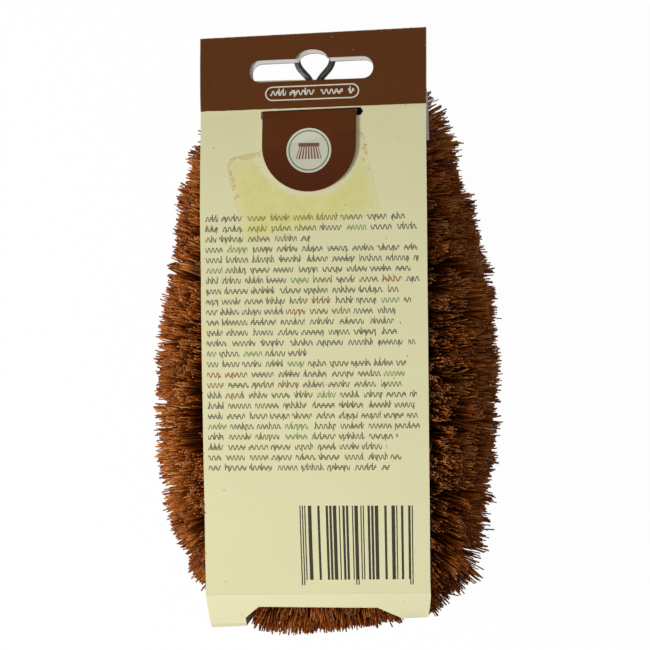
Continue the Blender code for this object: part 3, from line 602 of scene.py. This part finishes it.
# Its long edges aren't quite straight, its folds aren't quite square to it, the flap's
# right end shows past the edge of the panel, and the board has a slight wave.
on_back = np.interp(number, [base_row, wall_row, wall_row + 8], [1, 1, 0])
left_y = [-0.0645, -0.0606, -0.039, -0.0118, 0.024, 0.041, 0.0609, 0.0690, 0.0730, 0.0834]
left_out = [0.0009, 0.0007, 0.0001, -0.0002, -0.0002, 0.0001, 0.0002, 0.0003, 0.00055, 0.00068]
right_y = [-0.0606, -0.039, -0.0118, 0.0073, 0.041, 0.0609, 0.0834]
right_out = [-0.0001, 0.00025, 0.0005, 0.00058, 0.00055, 0.0004, 0.0005]
left_out = np.interp(spots[:, 1], left_y, left_out)
right_out = np.interp(spots[:, 1], right_y, right_out)
spots[:, 0] += np.where(across < 0, left_out * across, right_out * across) / CARD_HALF * on_back
lean_rows = [0, 5, 6, slot_row, slot_row + 2, slot_row + 5, base_row - 12, base_row]
lean_rows += [wall_row, wall_row + 7, front_header, flap_row, kerf_row, long - 1]
leans = [0.026, 0.008, 0.008, 0.022, 0.022, 0.0, 0.0, 0.012, 0.050, 0.0, 0.0, 0.012, 0.0, -0.025]
spots[:, 1] += np.interp(number, lean_rows, leans) * across
lug = np.clip((across - 0.0175) / (CARD_HALF - 0.0175), 0, 1)
lug_rows = [kerf_row - 2, kerf_row - 1, kerf_row, long - 1]
spots[:, 0] += np.interp(number, lug_rows, [-0.0001, 0.0001, 0.0005, 0.0008]) * lug
wave = np.sin(across * 95 + number * 0.21) * np.sin(number * 0.33 + 1) * 0.00009
spots[:, 2] += np.where((number > slot_row + 3) & (number < base_row), wave, 0)
slot_end = (number == slot_row) | (number == slot_row + 2)
spots[:, 0] -= np.where(slot_end & (across == SLOT_RIGHT), 0.0007, 0)
foot_rows = [base_row, base_row + 1, base_row + 2, wall_row, wall_row + 8]
spots[:, 0] *= np.interp(number, foot_rows, [1, 0.994, 0.982, 0.972, 1])
spots[:, 0] -= np.interp(number, foot_rows, [0.0002, 0.0006, 0.0010, 0.0011, 0])
spots[:, 1] -= np.interp(number, foot_rows, [0, 0, 0.0002, 0.00025, 0])
curl_rows = [front_end + 4, front_end + 9, front_header - 1, front_header + 1, flap_row - 1, flap_row]
spots[:, 0] *= np.interp(number, curl_rows, [1, 0.93, 0.93, 0.986, 0.986, 1])
mesh = sleeve.data
mesh.vertices.foreach_set("co", spots.ravel())

# Its print map says how far across and how far down the flat strip a place lies.
corner_vert = np.empty(len(mesh.loops), np.int32)
mesh.loops.foreach_get("vertex_index", corner_vert)
mesh.uv_layers[0].name = "print"
blank = np.stack([across * 10 + 0.5, run[number] * 2], 1)[corner_vert]
mesh.uv_layers[0].data.foreach_set("uv", blank.ravel())


def cut_away(face):
    """Whether a face lies in the header's slot or beside and under the riser."""
    places = [divmod(v, wide) for v in face.vertices]
    row = min(r for r, c in places)
    low, high = min(columns[c] for r, c in places), max(columns[c] for r, c in places)
    in_slot = slot_row <= row < slot_row + 2 and low >= SLOT_LEFT and high <= SLOT_RIGHT
    in_gap = row >= kerf_row - 1 and low > TONGUE_RIGHT - 0.0001 and high < SLOT_RIGHT + 0.0001
    in_gap |= row >= kerf_row and low > TONGUE_LEFT - 0.0004 and high < SLOT_RIGHT + 0.0001
    return in_slot or in_gap


def on_kerf(edge):
    """Whether an edge lies where the riser leaves the flap."""
    ends = [mesh.vertices[v].co for v in edge.vertices]
    y, z = strip[kerf_row]
    level = all(abs(p.y - y) < 1e-5 and abs(p.z - z) < 1e-5 for p in ends)
    return level and all(TONGUE_LEFT - 1e-5 < p.x < TONGUE_RIGHT + 1e-5 for p in ends)


choose(sleeve, "FACE", cut_away)
bpy.ops.mesh.delete(type="FACE")
choose(sleeve, "EDGE", on_kerf)
laid = len(mesh.vertices)
riser = [tuple(strip[kerf_row]), header_at(RISER_BEND + CARD, FLAP_DEPTH)]
riser += [header_at(RISER_BEND, FLAP_DEPTH - CARD), header_at(RISER_BEND, RISER_TOP)]
for (y0, z0), (y1, z1) in zip(riser, riser[1:]):
    bpy.ops.mesh.extrude_region_move(TRANSFORM_OT_translate={"value": (0, y1 - y0, z1 - z0)})
bpy.ops.object.mode_set(mode="OBJECT")
for vert in mesh.vertices[laid:]:
    vert.co.y += TONGUE_TURN * (vert.co.x + 0.0011)
for face in mesh.polygons:
    if max(face.vertices) >= laid:
        for corner in face.loop_indices:
            place = mesh.vertices[mesh.loops[corner].vertex_index].co
            mesh.uv_layers[0].data[corner].uv = (place.x * 10 + 0.5, 0.01)
bpy.ops.object.mode_set(mode="EDIT")
bpy.ops.mesh.select_all(action="SELECT")
bpy.ops.mesh.normals_make_consistent(inside=False)
bpy.ops.object.mode_set(mode="OBJECT")
if min(mesh.polygons, key=lambda face: face.center.z).normal.z > 0:
    bpy.ops.object.mode_set(mode="EDIT")
    bpy.ops.mesh.flip_normals()
    bpy.ops.object.mode_set(mode="OBJECT")


def new_group(name, inputs, outputs):
    """A shader node group with named sockets: the group, its inputs and its last node."""
    group = bpy.data.node_groups.new(name, "ShaderNodeTree")
    for way, sockets in (("INPUT", inputs), ("OUTPUT", outputs)):
        for label, kind in sockets.items():
            group.interface.new_socket(label, in_out=way, socket_type=f"NodeSocket{kind}")
    first, last = group.nodes.new("NodeGroupInput"), group.nodes.new("NodeGroupOutput")
    return group, [Field(first.outputs[label]) for label in inputs], last


def place_group(tree, group, inputs):
    """A node group placed in a material with its own values, giving back its outputs."""
    made = tree.nodes.new("ShaderNodeGroup")
    made.node_tree = group
    set_up(made, inputs)
    return [Field(socket) for socket in made.outputs]


# Printed board: a brown ink that the paper's streaks and grain show through, and the mask
# of the small breaks along folds and edges, where the ink has come off.
sockets = {"Place": "Vector", "Streaks": "Vector", "Cracks": "Vector", "Wear": "Float"}
sockets.update({"Dark": "Color", "Light": "Color", "Fleck": "Color", "Flecks": "Float"})
results = {"Brown": "Color", "Streak": "Float", "Grain": "Float", "Crack": "Float"}
brown_ink, fields, last = new_group("brown_ink", sockets, results)
place, streaks, cracks, wear, dark, light, fleck, flecks = fields
streak = noise(stretched(place, streaks), 1, 2, 0.6)
grain = noise(place, 7, 3, 0.7)
crack = noise(stretched(place, cracks), 1, 4, 0.7) > wear
ink = mix(grain * flecks, mix(streak, dark, light), fleck)
set_up(last, {"Brown": ink, "Streak": streak, "Grain": grain, "Crack": crack})

# Paper pulp: the fine mottle of board that carries no ink, on its face and on its cut edge.
sockets = {"Place": "Vector", "Scale": "Float", "Detail": "Float", "Dark": "Color", "Light": "Color"}
paper_pulp, (place, scale, detail, dark, light), last = new_group(
    "paper_pulp", sockets, {"Colour": "Color", "Pulp": "Float"}
)
pulp = noise(place, scale, detail, 0.7)
set_up(last, {"Colour": mix(pulp, dark, light), "Pulp": pulp})

printed, tree, shader = new_material("printed_card")
x_part, s_part, _ = split(uv_place(tree, "print"))
x_mm, s_mm = x_part * 100 - 50, s_part * 500
metric = join(x_mm, s_mm)


def run_at(y):
    """How many millimetres down the strip a place on the back panel lies."""
    rows = slice(slot_row, base_row)
    return float(np.interp(-y, -strip[rows, 0], run[rows])) * 1000


def band(value, low, high):
    """1 where a value lies between two numbers."""
    return (value > low) * (value < high)


def near(value, middle, reach):
    """1 where a value lies within a reach of its middle."""
    return abs(value - middle) < reach


def dice(*numbers):
    """Three random values for a cell, from its numbers."""
    cell = join(*numbers)
    return split(add_node(cell.tree, "ShaderNodeTexWhiteNoise", {"Vector": cell})["Color"], "Color")


def filler(left, first, letter, pitch, rows, reach, tall, stem):
    """Rows of meaningless wavy pen strokes in the size of small print: left edge, first
    row, stroke and row pitch, number of rows, row length, height and width, all in mm."""
    across = (x_mm - left) / letter
    down = (s_mm - first) / pitch + 0.5
    cell, row = math.floor(across), math.floor(down)
    ragged, short, spread = dice(row, 1.5, 5.5)
    spread = across * (spread * 0.06 + 0.155) + (short * 0.3 + 0.3)
    word = math.floor(spread)
    a, b, c = dice(cell, row, 3.5)
    swing, shift, gap = dice(word, row, 8.5)
    at_y = (down - row - 0.5) * pitch
    half, thin = tall / 2, stem / 2
    phase = (across * (swing * 0.35 + 0.9) + shift) * (2 * math.pi)
    wave = phase.sine() * (half - thin)
    slope = phase.cosine() * (half * 2 * math.pi / letter)
    width = (slope * slope + 1.0).root() * thin
    ink = (abs(at_y - wave) < width) * (abs(at_y) < half)
    post = abs(across - cell - (b * 0.3 + 0.35)) < thin / letter
    tall_one = band(at_y, -half - tall * 0.42, half) * (a > 0.74)
    low_one = band(at_y, -half, half + tall * 0.32) * (a < 0.10)
    level = abs(at_y) < thin * 0.9
    ink = ink | post * (tall_one | low_one) | level * (c > 0.66)
    spoken = spread.fract() > gap * 0.12 + 0.10
    end = (ragged**2 * -0.16 + (short > 0.87) * -0.5 + 1.0) * (reach / letter)
    inked = band(across, 0.0, end) * band(row, -0.5, rows - 0.5)
    return ink * spoken * inked, row, word


inputs = {"Place": metric, "Streaks": (5.5, 0.05, 1), "Cracks": (1.1, 6, 1), "Wear": 0.5}
inputs.update({"Dark": (0.084, 0.023, 0.003), "Light": (0.120, 0.036, 0.007)})
inputs.update({"Fleck": (0.145, 0.055, 0.018), "Flecks": 0.2})
brown, streak, grain, crack = place_group(tree, brown_ink, inputs)
paper = mix(noise(metric, 0.06, 3), (0.690, 0.660, 0.385), (0.745, 0.712, 0.428))
paper = mix(streak * 0.16, paper, (0.60, 0.56, 0.31))
# Painted light: the cream paper grows paler down the back panel towards its foot.
painted_light_low = (s_mm * (1 / 110) - 0.25).soft_most(0.0, 0.1) & 1.0
paper = mix(painted_light_low * 0.35, paper, (0.80, 0.76, 0.47))

# The header is brown on its outside, front and back, and the rest is cream.
front_s, fold_s = float(run[front_header]) * 1000, float(run[flap_row]) * 1000
wavy_s = s_mm + noise(metric, 0.5, 2) * 0.25
header = (wavy_s < 21.28) | band(wavy_s, front_s, fold_s - 4.6)
colour = mix(band(wavy_s, fold_s - 4.6, 600), paper, (0.66, 0.64, 0.65))
colour = mix(header, colour, brown)

# The fine print: 25 rows of strokes, a few of them in brown or green ink.
first_line, last_line = run_at(0.0397), run_at(-0.0287)
ink, row, word = filler(-29.6, first_line, 1.27, (last_line - first_line) / 24, 25, 58.5, 1.40, 0.29)
tint, _, _ = dice(row, word, 2.5)
ink_colour = mix(tint < 0.07, (0.062, 0.054, 0.040), (0.20, 0.062, 0.022))
ink_colour = mix(tint > 0.965, ink_colour, (0.10, 0.22, 0.07))
faded = noise(metric, 2.2, 2)
colour = mix(ink * (faded * 0.25 + 0.70), colour, ink_colour)

# The bars: 95 modules with longer guards, whose stripes are thrown at random.
bar_left, module = -4.7, 31.1 / 95
step = math.floor((x_mm - bar_left) / module)
chance, _, _ = dice(step, 41.5, 0.5)
stripes = chance > 0.42
place = (step - 3.0) % 7.0
for at in (0, 3):
    stripes = stripes * (1 - near(place, at, 0.4))
stripes = stripes | near(place, 6, 0.4)
guard = near(step, 0, 0.4)
for at in (2, 46, 48, 92, 94):
    guard = guard | near(step, at, 0.4)
stripes = stripes * (1 - (near(step, 1, 0.4) | near(step, 93, 0.4)))
stripes = stripes * band(s_mm, run_at(-0.0392), run_at(-0.0601))
stripes = stripes | guard * band(s_mm, run_at(-0.0392), run_at(-0.0616))
colour = mix(stripes * band(step, -0.5, 94.5) * 0.99, colour, (0.050, 0.040, 0.030))

# The header's outlined frame, with one row of strokes in it.
frame_x = x_mm + 0.22
frame_s = s_mm - 16.80 + frame_x * 0.006
stretch = (abs(frame_x) - 10.8) | 0.0
ray = (stretch**2 + frame_s * frame_s).root()
words, _, _ = filler(-11.7, 16.75, 1.5, 30.0, 1, 24.6, 1.45, 0.30)
pale = near(ray, 1.88, 0.18) | words * (ray < 1.6)
colour = mix(pale * (faded * 0.3 + 0.75), colour, (0.72, 0.71, 0.60))

# Wear along the folds and edges, painted shade on the base crease with painted light on the band of the foot
# below it, and dust.
worn = (near(s_mm, 0.0, 0.16) | near(s_mm, front_s, 0.16)) * crack
worn = worn | (abs(x_mm) > 30.86) * crack * header
colour = mix(worn * 0.75, colour, (0.56, 0.50, 0.38))
base_s = run_at(BASE_CREASE_Y)
# Painted shade: a faint dark line along the base crease; painted light: the band of the foot just below it is
# made paler.
colour = mix(near(s_mm, base_s, 0.2) * 0.08, colour, (0.42, 0.38, 0.20))
colour = mix(band(s_mm, base_s + 0.2, base_s + 12) * 0.45, colour, (0.90, 0.86, 0.55))
dust = add_node(tree, "ShaderNodeTexVoronoi", {"Vector": metric, "Scale": 0.55})
pick, rare, _ = split(dust["Color"], "Color")
speck = (dust["Distance"] < pick**5 * 0.14) * (rare > 0.55)
colour = mix(speck * 0.7, colour, mix(header, (0.27, 0.15, 0.06), (0.42, 0.34, 0.22)))
set_up(shader, {"Base Color": colour, "Roughness": grain * 0.18 + 0.45, "Specular IOR Level": 0.10})
bump(shader, streak * 0.5 + grain * 0.5, 0.10, 0.0002)

bare, tree, shader = new_material("bare_card")
place = object_place(tree)
inputs = {"Place": place, "Scale": 1400, "Detail": 4}
inputs.update({"Dark": (0.68, 0.65, 0.645), "Light": (0.83, 0.80, 0.795)})
colour, pulp = place_group(tree, paper_pulp, inputs)
colour = mix(noise(place, 60, 3) * 0.25, colour, (0.52, 0.47, 0.38))
set_up(shader, {"Base Color": colour, "Roughness": 0.85, "Specular IOR Level": 0.2})
bump(shader, pulp, 0.25, 0.0002)

cut_edge, tree, shader = new_material("cut_card_edge")
inputs = {"Place": object_place(tree), "Scale": 2600, "Detail": 3}
inputs.update({"Dark": (0.47, 0.44, 0.33), "Light": (0.74, 0.71, 0.58)})
colour, pulp = place_group(tree, paper_pulp, inputs)
set_up(shader, {"Base Color": colour, "Roughness": 0.9})
bump(shader, pulp, 0.4, 0.0002)


def into_board(piece, finishes, offset):
    """Give a bare sheet its finishes and the board's thickness."""
    for finish in finishes:
        piece.data.materials.append(finish)
    take(piece)
    board = piece.modifiers.new("board", "SOLIDIFY")
    board.thickness, board.offset, board.use_even_offset = CARD, offset, True
    board.material_offset, board.material_offset_rim = 1, 2
    bpy.ops.object.modifier_apply(modifier="board")


into_board(sleeve, (printed, bare, cut_edge), 1)


def punch(name, cutter):
    """Take a cutter out of the sleeve, leaving bare board on the cut, and remove it."""
    cutter.data.materials.clear()
    for finish in (printed, bare, cut_edge):
        cutter.data.materials.append(finish)
    for face in cutter.data.polygons:
        face.material_index = 2
    take(sleeve)
    hole = sleeve.modifiers.new(name, "BOOLEAN")
    hole.operation, hole.solver, hole.object = "DIFFERENCE", "EXACT", cutter
    bpy.ops.object.modifier_apply(modifier=name)
    bpy.data.objects.remove(cutter)


def block(size, spot, turn, corner, segments, axis):
    """A block whose four edges along one axis are bevelled."""
    bpy.ops.object.select_all(action="DESELECT")
    bpy.ops.mesh.primitive_cube_add(size=1, location=spot, rotation=turn)
    made = bpy.context.object
    made.scale = size
    bpy.ops.object.transform_apply(location=False, rotation=False, scale=True)

    def along_axis(edge):
        a, b = (made.data.vertices[v].co for v in edge.vertices)
        return abs(a[axis] - b[axis]) > 1e-6

    choose(made, "EDGE", along_axis)
    bpy.ops.mesh.bevel(offset=corner, segments=segments, affect="EDGES", profile=0.5)
    bpy.ops.object.mode_set(mode="OBJECT")
    return made


# The hanging slot: a bar with a bump in the middle of its upper side, through all layers.
layers = {  # how far the hole is shifted, and the depths it is cut between
    "back": (0.0, -0.00015, 0.006),
    "flap": (0.0008, -0.0018, -0.00014),
    "front": (0.0002, -0.0042, -0.0017),
}
for layer, (move, low, high) in layers.items():
    turn = (-TILT, 0, math.radians(1.0))
    middle = (low + high) / -2
    spot = (-0.0007 + move, *header_at(0.0104 - move, middle))
    bar = block((0.0344, 0.0062, high - low), spot, turn, 0.00298, 8, 2)
    punch(f"hang_slot_{layer}", bar)
    spot = (-0.0006 + move, *header_at(0.0133 - move, middle))
    bpy.ops.object.select_all(action="DESELECT")
    bpy.ops.mesh.primitive_cylinder_add(vertices=48, radius=1, depth=1, location=spot, rotation=turn)
    bump_hole = bpy.context.object
    bump_hole.scale = (0.0044, 0.0027, high - low + 0.0003)
    bpy.ops.object.transform_apply(location=False, rotation=False, scale=True)
    punch(f"hang_bump_{layer}", bump_hole)

# The octagonal window in the base, whose upper corners lie further in.
turn = (0, math.radians(2.0), 0)
window = block((0.0436, 0.0152, 0.0257), (-0.0006, -0.0720, 0.0259), turn, 0.0036, 1, 1)
for vert in window.data.vertices:
    if vert.co.z > 0.0128:
        vert.co.x -= 0.0026 if vert.co.x > 0 else -0.0006
punch("base_window", window)

take(sleeve)
bpy.ops.object.shade_smooth_by_angle(angle=math.radians(28))
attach(sleeve, "sleeve")
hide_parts("card_sleeve")

# The tuck tongue: the flap's middle, printed brown with a plain round seal, which is bent
# down over the slot's edge on a crease and lies flat on the back panel.

TONGUE_TIP_Y = 0.0469
TONGUE_ROUND, TONGUE_LIFT = 0.0130, 0.00098
HINGE_Y, HINGE_Z = 0.069436, 0.043798

middle_x = (TONGUE_LEFT + TONGUE_RIGHT) / 2
bpy.ops.object.select_all(action="DESELECT")
bpy.ops.mesh.primitive_plane_add(size=1, location=(middle_x, (HINGE_Y + TONGUE_TIP_Y) / 2, 0))
tongue = bpy.context.object
tongue.name = tongue.data.name = "tongue_card"
tongue.scale = (TONGUE_RIGHT - TONGUE_LEFT, HINGE_Y - TONGUE_TIP_Y, 1)
bpy.ops.object.transform_apply(location=True, rotation=True, scale=True)
choose(tongue, "VERT", lambda vert: vert.co.y < 0.06)
bpy.ops.mesh.bevel(offset=TONGUE_ROUND - 0.00004, segments=26, affect="VERTICES", profile=0.5)
cuts = [((0, y, 0), (0, 1, 0)) for y in np.linspace(0.0475, 0.0690, 24)]
cuts += [((x, 0, 0), (1, 0, 0)) for x in np.linspace(-0.0120, 0.0100, 9)]
for spot, facing in cuts:
    bpy.ops.mesh.select_all(action="SELECT")
    bpy.ops.mesh.bisect(plane_co=spot, plane_no=facing)
bpy.ops.object.mode_set(mode="OBJECT")
for vert in tongue.data.vertices:
    x, y, _ = vert.co
    bend = max(0, 1 - (HINGE_Y - y) / 0.0015)
    vert.co.z = roof_at(y, TONGUE_LIFT)[1] * (1 - bend) + HINGE_Z * bend
    vert.co.z += 0.00012 * math.sin((x + 0.001) / 0.013 * 2.2) ** 2 * (1 - bend)
    vert.co.y += TONGUE_TURN * (x + 0.0011) * bend

brown_card, tree, shader = new_material("brown_card_print")
metric = stretched(object_place(tree), (1000, 1000, 1000))
x_mm, y_mm, _ = split(metric)
inputs = {"Place": metric, "Streaks": (5.0, 0.12, 0.1), "Cracks": (1.3, 5, 5), "Wear": 0.52}
inputs.update({"Dark": (0.080, 0.019, 0.003), "Light": (0.112, 0.029, 0.005)})
inputs.update({"Fleck": (0.125, 0.042, 0.014), "Flecks": 0.18})
colour, streak, grain, crack = place_group(tree, brown_ink, inputs)
colour = mix((y_mm * -0.035 + 2.1) | 0.0, colour, (0.058, 0.007, 0.0005))

# The seal: a pale disc with a green ring round a small brush.
seal_x, seal_y = x_mm + 1.1, y_mm - 58.3
from_middle = (seal_x * seal_x + seal_y * seal_y).root()
handle = (abs(seal_x) < 2.9) * near(seal_y, 1.55, 0.5)
spread = seal_x / (seal_y * -0.12 + 1.15)
bristle = near((spread / 0.62 + 0.5).fract(), 0.5, 0.27)
bristle = bristle * band(seal_y, -2.4, 1.2) * (abs(spread) < 2.5)
colour = mix(from_middle < 6.2, colour, (0.66, 0.63, 0.50))
colour = mix((handle | bristle) * 0.9, colour, (0.150, 0.040, 0.016))
colour = mix(near(from_middle, 5.45, 0.18) * 0.9, colour, (0.045, 0.215, 0.060))
colour = mix((y_mm > 69.75) * crack * 0.6, colour, (0.50, 0.43, 0.31))
set_up(shader, {"Base Color": colour, "Roughness": grain * 0.2 + 0.42, "Specular IOR Level": 0.10})
bump(shader, streak + grain, 0.08, 0.0002)

into_board(tongue, (brown_card, bare, cut_edge), 0)


def is_crease(edge):
    """Whether an edge runs along the tongue's upper end."""
    a, b = (tongue.data.vertices[v].co for v in edge.vertices)
    return min(a.y, b.y) > HINGE_Y - 0.0004 and abs(a.z - b.z) < 0.0001


choose(tongue, "EDGE", is_crease)
bpy.ops.mesh.bevel(offset=0.00020, segments=4, affect="EDGES", profile=0.5)
bpy.ops.object.mode_set(mode="OBJECT")
for face in tongue.data.polygons:
    if face.center.y > HINGE_Y - 0.0004 and abs(face.normal.x) < 0.5:
        face.material_index = 0
bpy.ops.object.shade_smooth_by_angle(angle=math.radians(30))
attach(tongue, "tongue")
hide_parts("tuck_tongue")

# The clear label: thin film with a dry yellowish glue, stuck by hand over the tongue's end
# and the panel to hold them together, with coir dust caught along its edges.

LABEL_X, LABEL_Y, LABEL_TURN = -0.0029, 0.0486, math.radians(12.1)
LABEL_WIDE, LABEL_HIGH, LABEL_CORNER, FILM = 0.0385, 0.0240, 0.0022, 0.00006
OVER_TONGUE, OVER_PANEL = 0.00139, 0.00056

bpy.ops.object.select_all(action="DESELECT")
bpy.ops.mesh.primitive_grid_add(x_subdivisions=76, y_subdivisions=48, size=1)
label = bpy.context.object
label.name = label.data.name = "label_film"
label.scale = (LABEL_WIDE, LABEL_HIGH, 1)
bpy.ops.object.transform_apply(location=True, rotation=True, scale=True)
flat = np.empty(len(label.data.vertices) * 3)
label.data.vertices.foreach_get("co", flat)
flat = flat.reshape(-1, 3)
half_size = np.array([LABEL_WIDE / 2, LABEL_HIGH / 2])
over = np.abs(flat[:, :2]) - (half_size - LABEL_CORNER)
in_corner = (over > 0).all(axis=1)
circle = np.hypot(over[:, 0], over[:, 1])
squeeze = np.where(in_corner, np.max(over, axis=1) / np.maximum(circle, 1e-9), 1)[:, None]
inner = np.abs(flat[:, :2]) - np.where(in_corner[:, None], over * (1 - squeeze), 0)
flat[:, :2] = np.sign(flat[:, :2]) * inner
from_rim = (half_size - np.abs(flat[:, :2])).min(axis=1) * 1000
high_end = flat[:, 1] / LABEL_HIGH + 0.5
turned = np.empty_like(flat)
turned[:, 0] = LABEL_X + flat[:, 0] * math.cos(LABEL_TURN) - flat[:, 1] * math.sin(LABEL_TURN)
turned[:, 1] = LABEL_Y + flat[:, 0] * math.sin(LABEL_TURN) + flat[:, 1] * math.cos(LABEL_TURN)
round_y = TONGUE_TIP_Y + TONGUE_ROUND
away = np.hypot(turned[:, 0] - middle_x, np.minimum(turned[:, 1] - round_y, 0)) - TONGUE_ROUND
away = np.where(turned[:, 1] > round_y, np.abs(turned[:, 0] - middle_x) - TONGUE_ROUND, away)
share = np.clip(away / 0.0019, 0, 1)
share = share * share * (3 - 2 * share)
drape = np.sin(flat[:, 0] * 520 + flat[:, 1] * 300) * 0.00002
lift = OVER_TONGUE + (OVER_PANEL - OVER_TONGUE) * share + drape
turned[:, 2] = BACK_Z - BACK_RADIUS + np.sqrt((BACK_RADIUS + lift) ** 2 - (turned[:, 1] - BACK_MIDDLE) ** 2)
label.data.vertices.foreach_set("co", turned.ravel())
for name, values in (("away", away * 1000), ("rim", from_rim), ("upper", high_end)):
    layer = label.data.attributes.new(name, "FLOAT", "POINT")
    layer.data.foreach_set("value", values.astype(np.float32))

film, tree, shader = new_material("label_film")
metric = stretched(object_place(tree), (1000, 1000, 1000))
rim, away, upper = (
    add_node(tree, "ShaderNodeAttribute", {}, attribute_name=name)["Fac"] for name in ("rim", "away", "upper")
)

# The glue sticks where the film lies flat, and a bubble follows the tongue's round end.
flat_down = away * 2.0 - 2.7 - ((upper * 13.0 - 8.4) | 0.0)
stuck = (flat_down | 0.0).soft_least(1.0, 0.1)
glue = noise(metric, 0.25, 4, 0.6)
crumb = noise(metric, 4.2, 4, 0.75)
fringe = rim < noise(metric, 0.5, 2) * 4.2 - 1.1
crumbs = fringe * (crumb > 0.555) * (away > 0.3) * (glue * 0.7 + upper > 0.93)
edge_line = rim < 0.14
bubble_rim = near(flat_down, 0.3, 0.24)
on_tongue = away < 0.05
tint = mix(stuck, (0.70, 0.68, 0.50), (0.84, 0.78, 0.03))
tint = mix(on_tongue, tint, (0.020, 0.004, 0.001))
tint = mix(edge_line * (crumb > 0.52) * on_tongue, tint, (0.42, 0.26, 0.14))
tint = mix(edge_line * stuck, tint, (0.62, 0.58, 0.30))
tint = mix(bubble_rim, tint, (0.80, 0.78, 0.55))
tint = mix(crumbs, tint, (0.60, 0.24, 0.05))
spread = ((rim * 0.22 + 0.28) & 1.0) * (glue * 0.14 + 0.034)
cover = stuck * (spread - 0.03) + 0.03
cover = cover | on_tongue * 0.02 | bubble_rim * 0.07 | edge_line * stuck * 0.09 | crumbs * 0.42
set_up(shader, {"Base Color": tint, "Alpha": cover, "Roughness": 0.30, "Specular IOR Level": 0.09})
bump(shader, noise(metric, 0.8, 3), 0.15, 0.0005)
label.data.materials.append(film)
take(label)
sheet = label.modifiers.new("film", "SOLIDIFY")
sheet.thickness, sheet.offset = FILM, 1
bpy.ops.object.modifier_apply(modifier="film")
bpy.ops.object.shade_smooth_by_angle(angle=math.radians(40))
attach(label, "tongue")
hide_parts("clear_label")

# The photograph's setting: a white table under soft light from the left and a little below,
# seen from straight above and a little to the right.

TABLE_DROP = 0.0003
TABLE_WHITE = 0.975
DIM_SKY = 0.25
LAMPS = {  # place, size in metres and power in watts
    "key_lamp": ((-0.75, -0.30, 0.74), 0.28, 10.3),
    "fill_lamp": ((0.05, 0.05, 1.10), 0.5, 1.3),
}
LAMP_AIM = Vector((0, 0, 0.02))
LENS, SENSOR, DISTANCE = 120.69, 36, 0.62
AIM = Vector((0.00028, 0.00992, 0.025))
YAW, PITCH, ROLL = math.radians(6.5), math.radians(-1.0), math.radians(-0.78)

bpy.ops.object.select_all(action="DESELECT")
bpy.ops.mesh.primitive_plane_add(size=4, location=(0, 0, -TABLE_DROP))
table = bpy.context.object
table.name = "table"
bpy.ops.object.transform_apply(location=True, rotation=True, scale=True)
white, tree, _ = new_material("white_table")
tree.nodes.clear()
paper = add_node(tree, "ShaderNodeBsdfDiffuse", {0: (0.86, 0.86, 0.86)})["BSDF"]
glow = add_node(tree, "ShaderNodeEmission", {0: (1, 1, 1), 1: 1.0})["Emission"]
rays = add_node(tree, "ShaderNodeLightPath", {})
seen = rays["Is Camera Ray"] | rays["Is Transmission Ray"] | rays["Is Glossy Ray"]
surface = add_node(tree, "ShaderNodeMixShader", {0: seen * TABLE_WHITE, 1: paper, 2: glow})["Shader"]
add_node(tree, "ShaderNodeOutputMaterial", {"Surface": surface})
table.data.materials.append(white)

world = bpy.data.worlds.new("studio")
world.use_nodes = True
sky = world.node_tree.nodes["Background"]
rays = add_node(world.node_tree, "ShaderNodeLightPath", {})
seen = rays["Is Camera Ray"] | rays["Is Transmission Ray"]
set_up(sky, {0: (1, 1, 1), 1: seen * (1 - DIM_SKY) + DIM_SKY})
bpy.context.scene.world = world

for name, (spot, size, power) in LAMPS.items():
    lamp = bpy.data.lights.new(name, "AREA")
    lamp.shape, lamp.size, lamp.energy = "SQUARE", size, power
    holder = bpy.data.objects.new(name, lamp)
    bpy.context.scene.collection.objects.link(holder)
    holder.location = spot
    holder.rotation_euler = (LAMP_AIM - Vector(spot)).to_track_quat("-Z", "Y").to_euler()

camera = bpy.data.objects.new("camera", bpy.data.cameras.new("camera"))
bpy.context.scene.collection.objects.link(camera)
bpy.context.scene.camera = camera
camera.data.lens, camera.data.sensor_width = LENS, SENSOR
back = Vector((math.sin(YAW) * math.cos(PITCH), -math.sin(PITCH), math.cos(YAW) * math.cos(PITCH)))
back.normalize()
level = Vector((0, 1, 0)).cross(back).normalized()
upright = back.cross(level)
right = level * math.cos(ROLL) + upright * math.sin(ROLL)
up = upright * math.cos(ROLL) - level * math.sin(ROLL)
turned = Matrix((right, up, back)).transposed().to_4x4()
camera.matrix_world = Matrix.Translation(AIM + back * DISTANCE) @ turned

bpy.context.scene.view_settings.view_transform = "Standard"
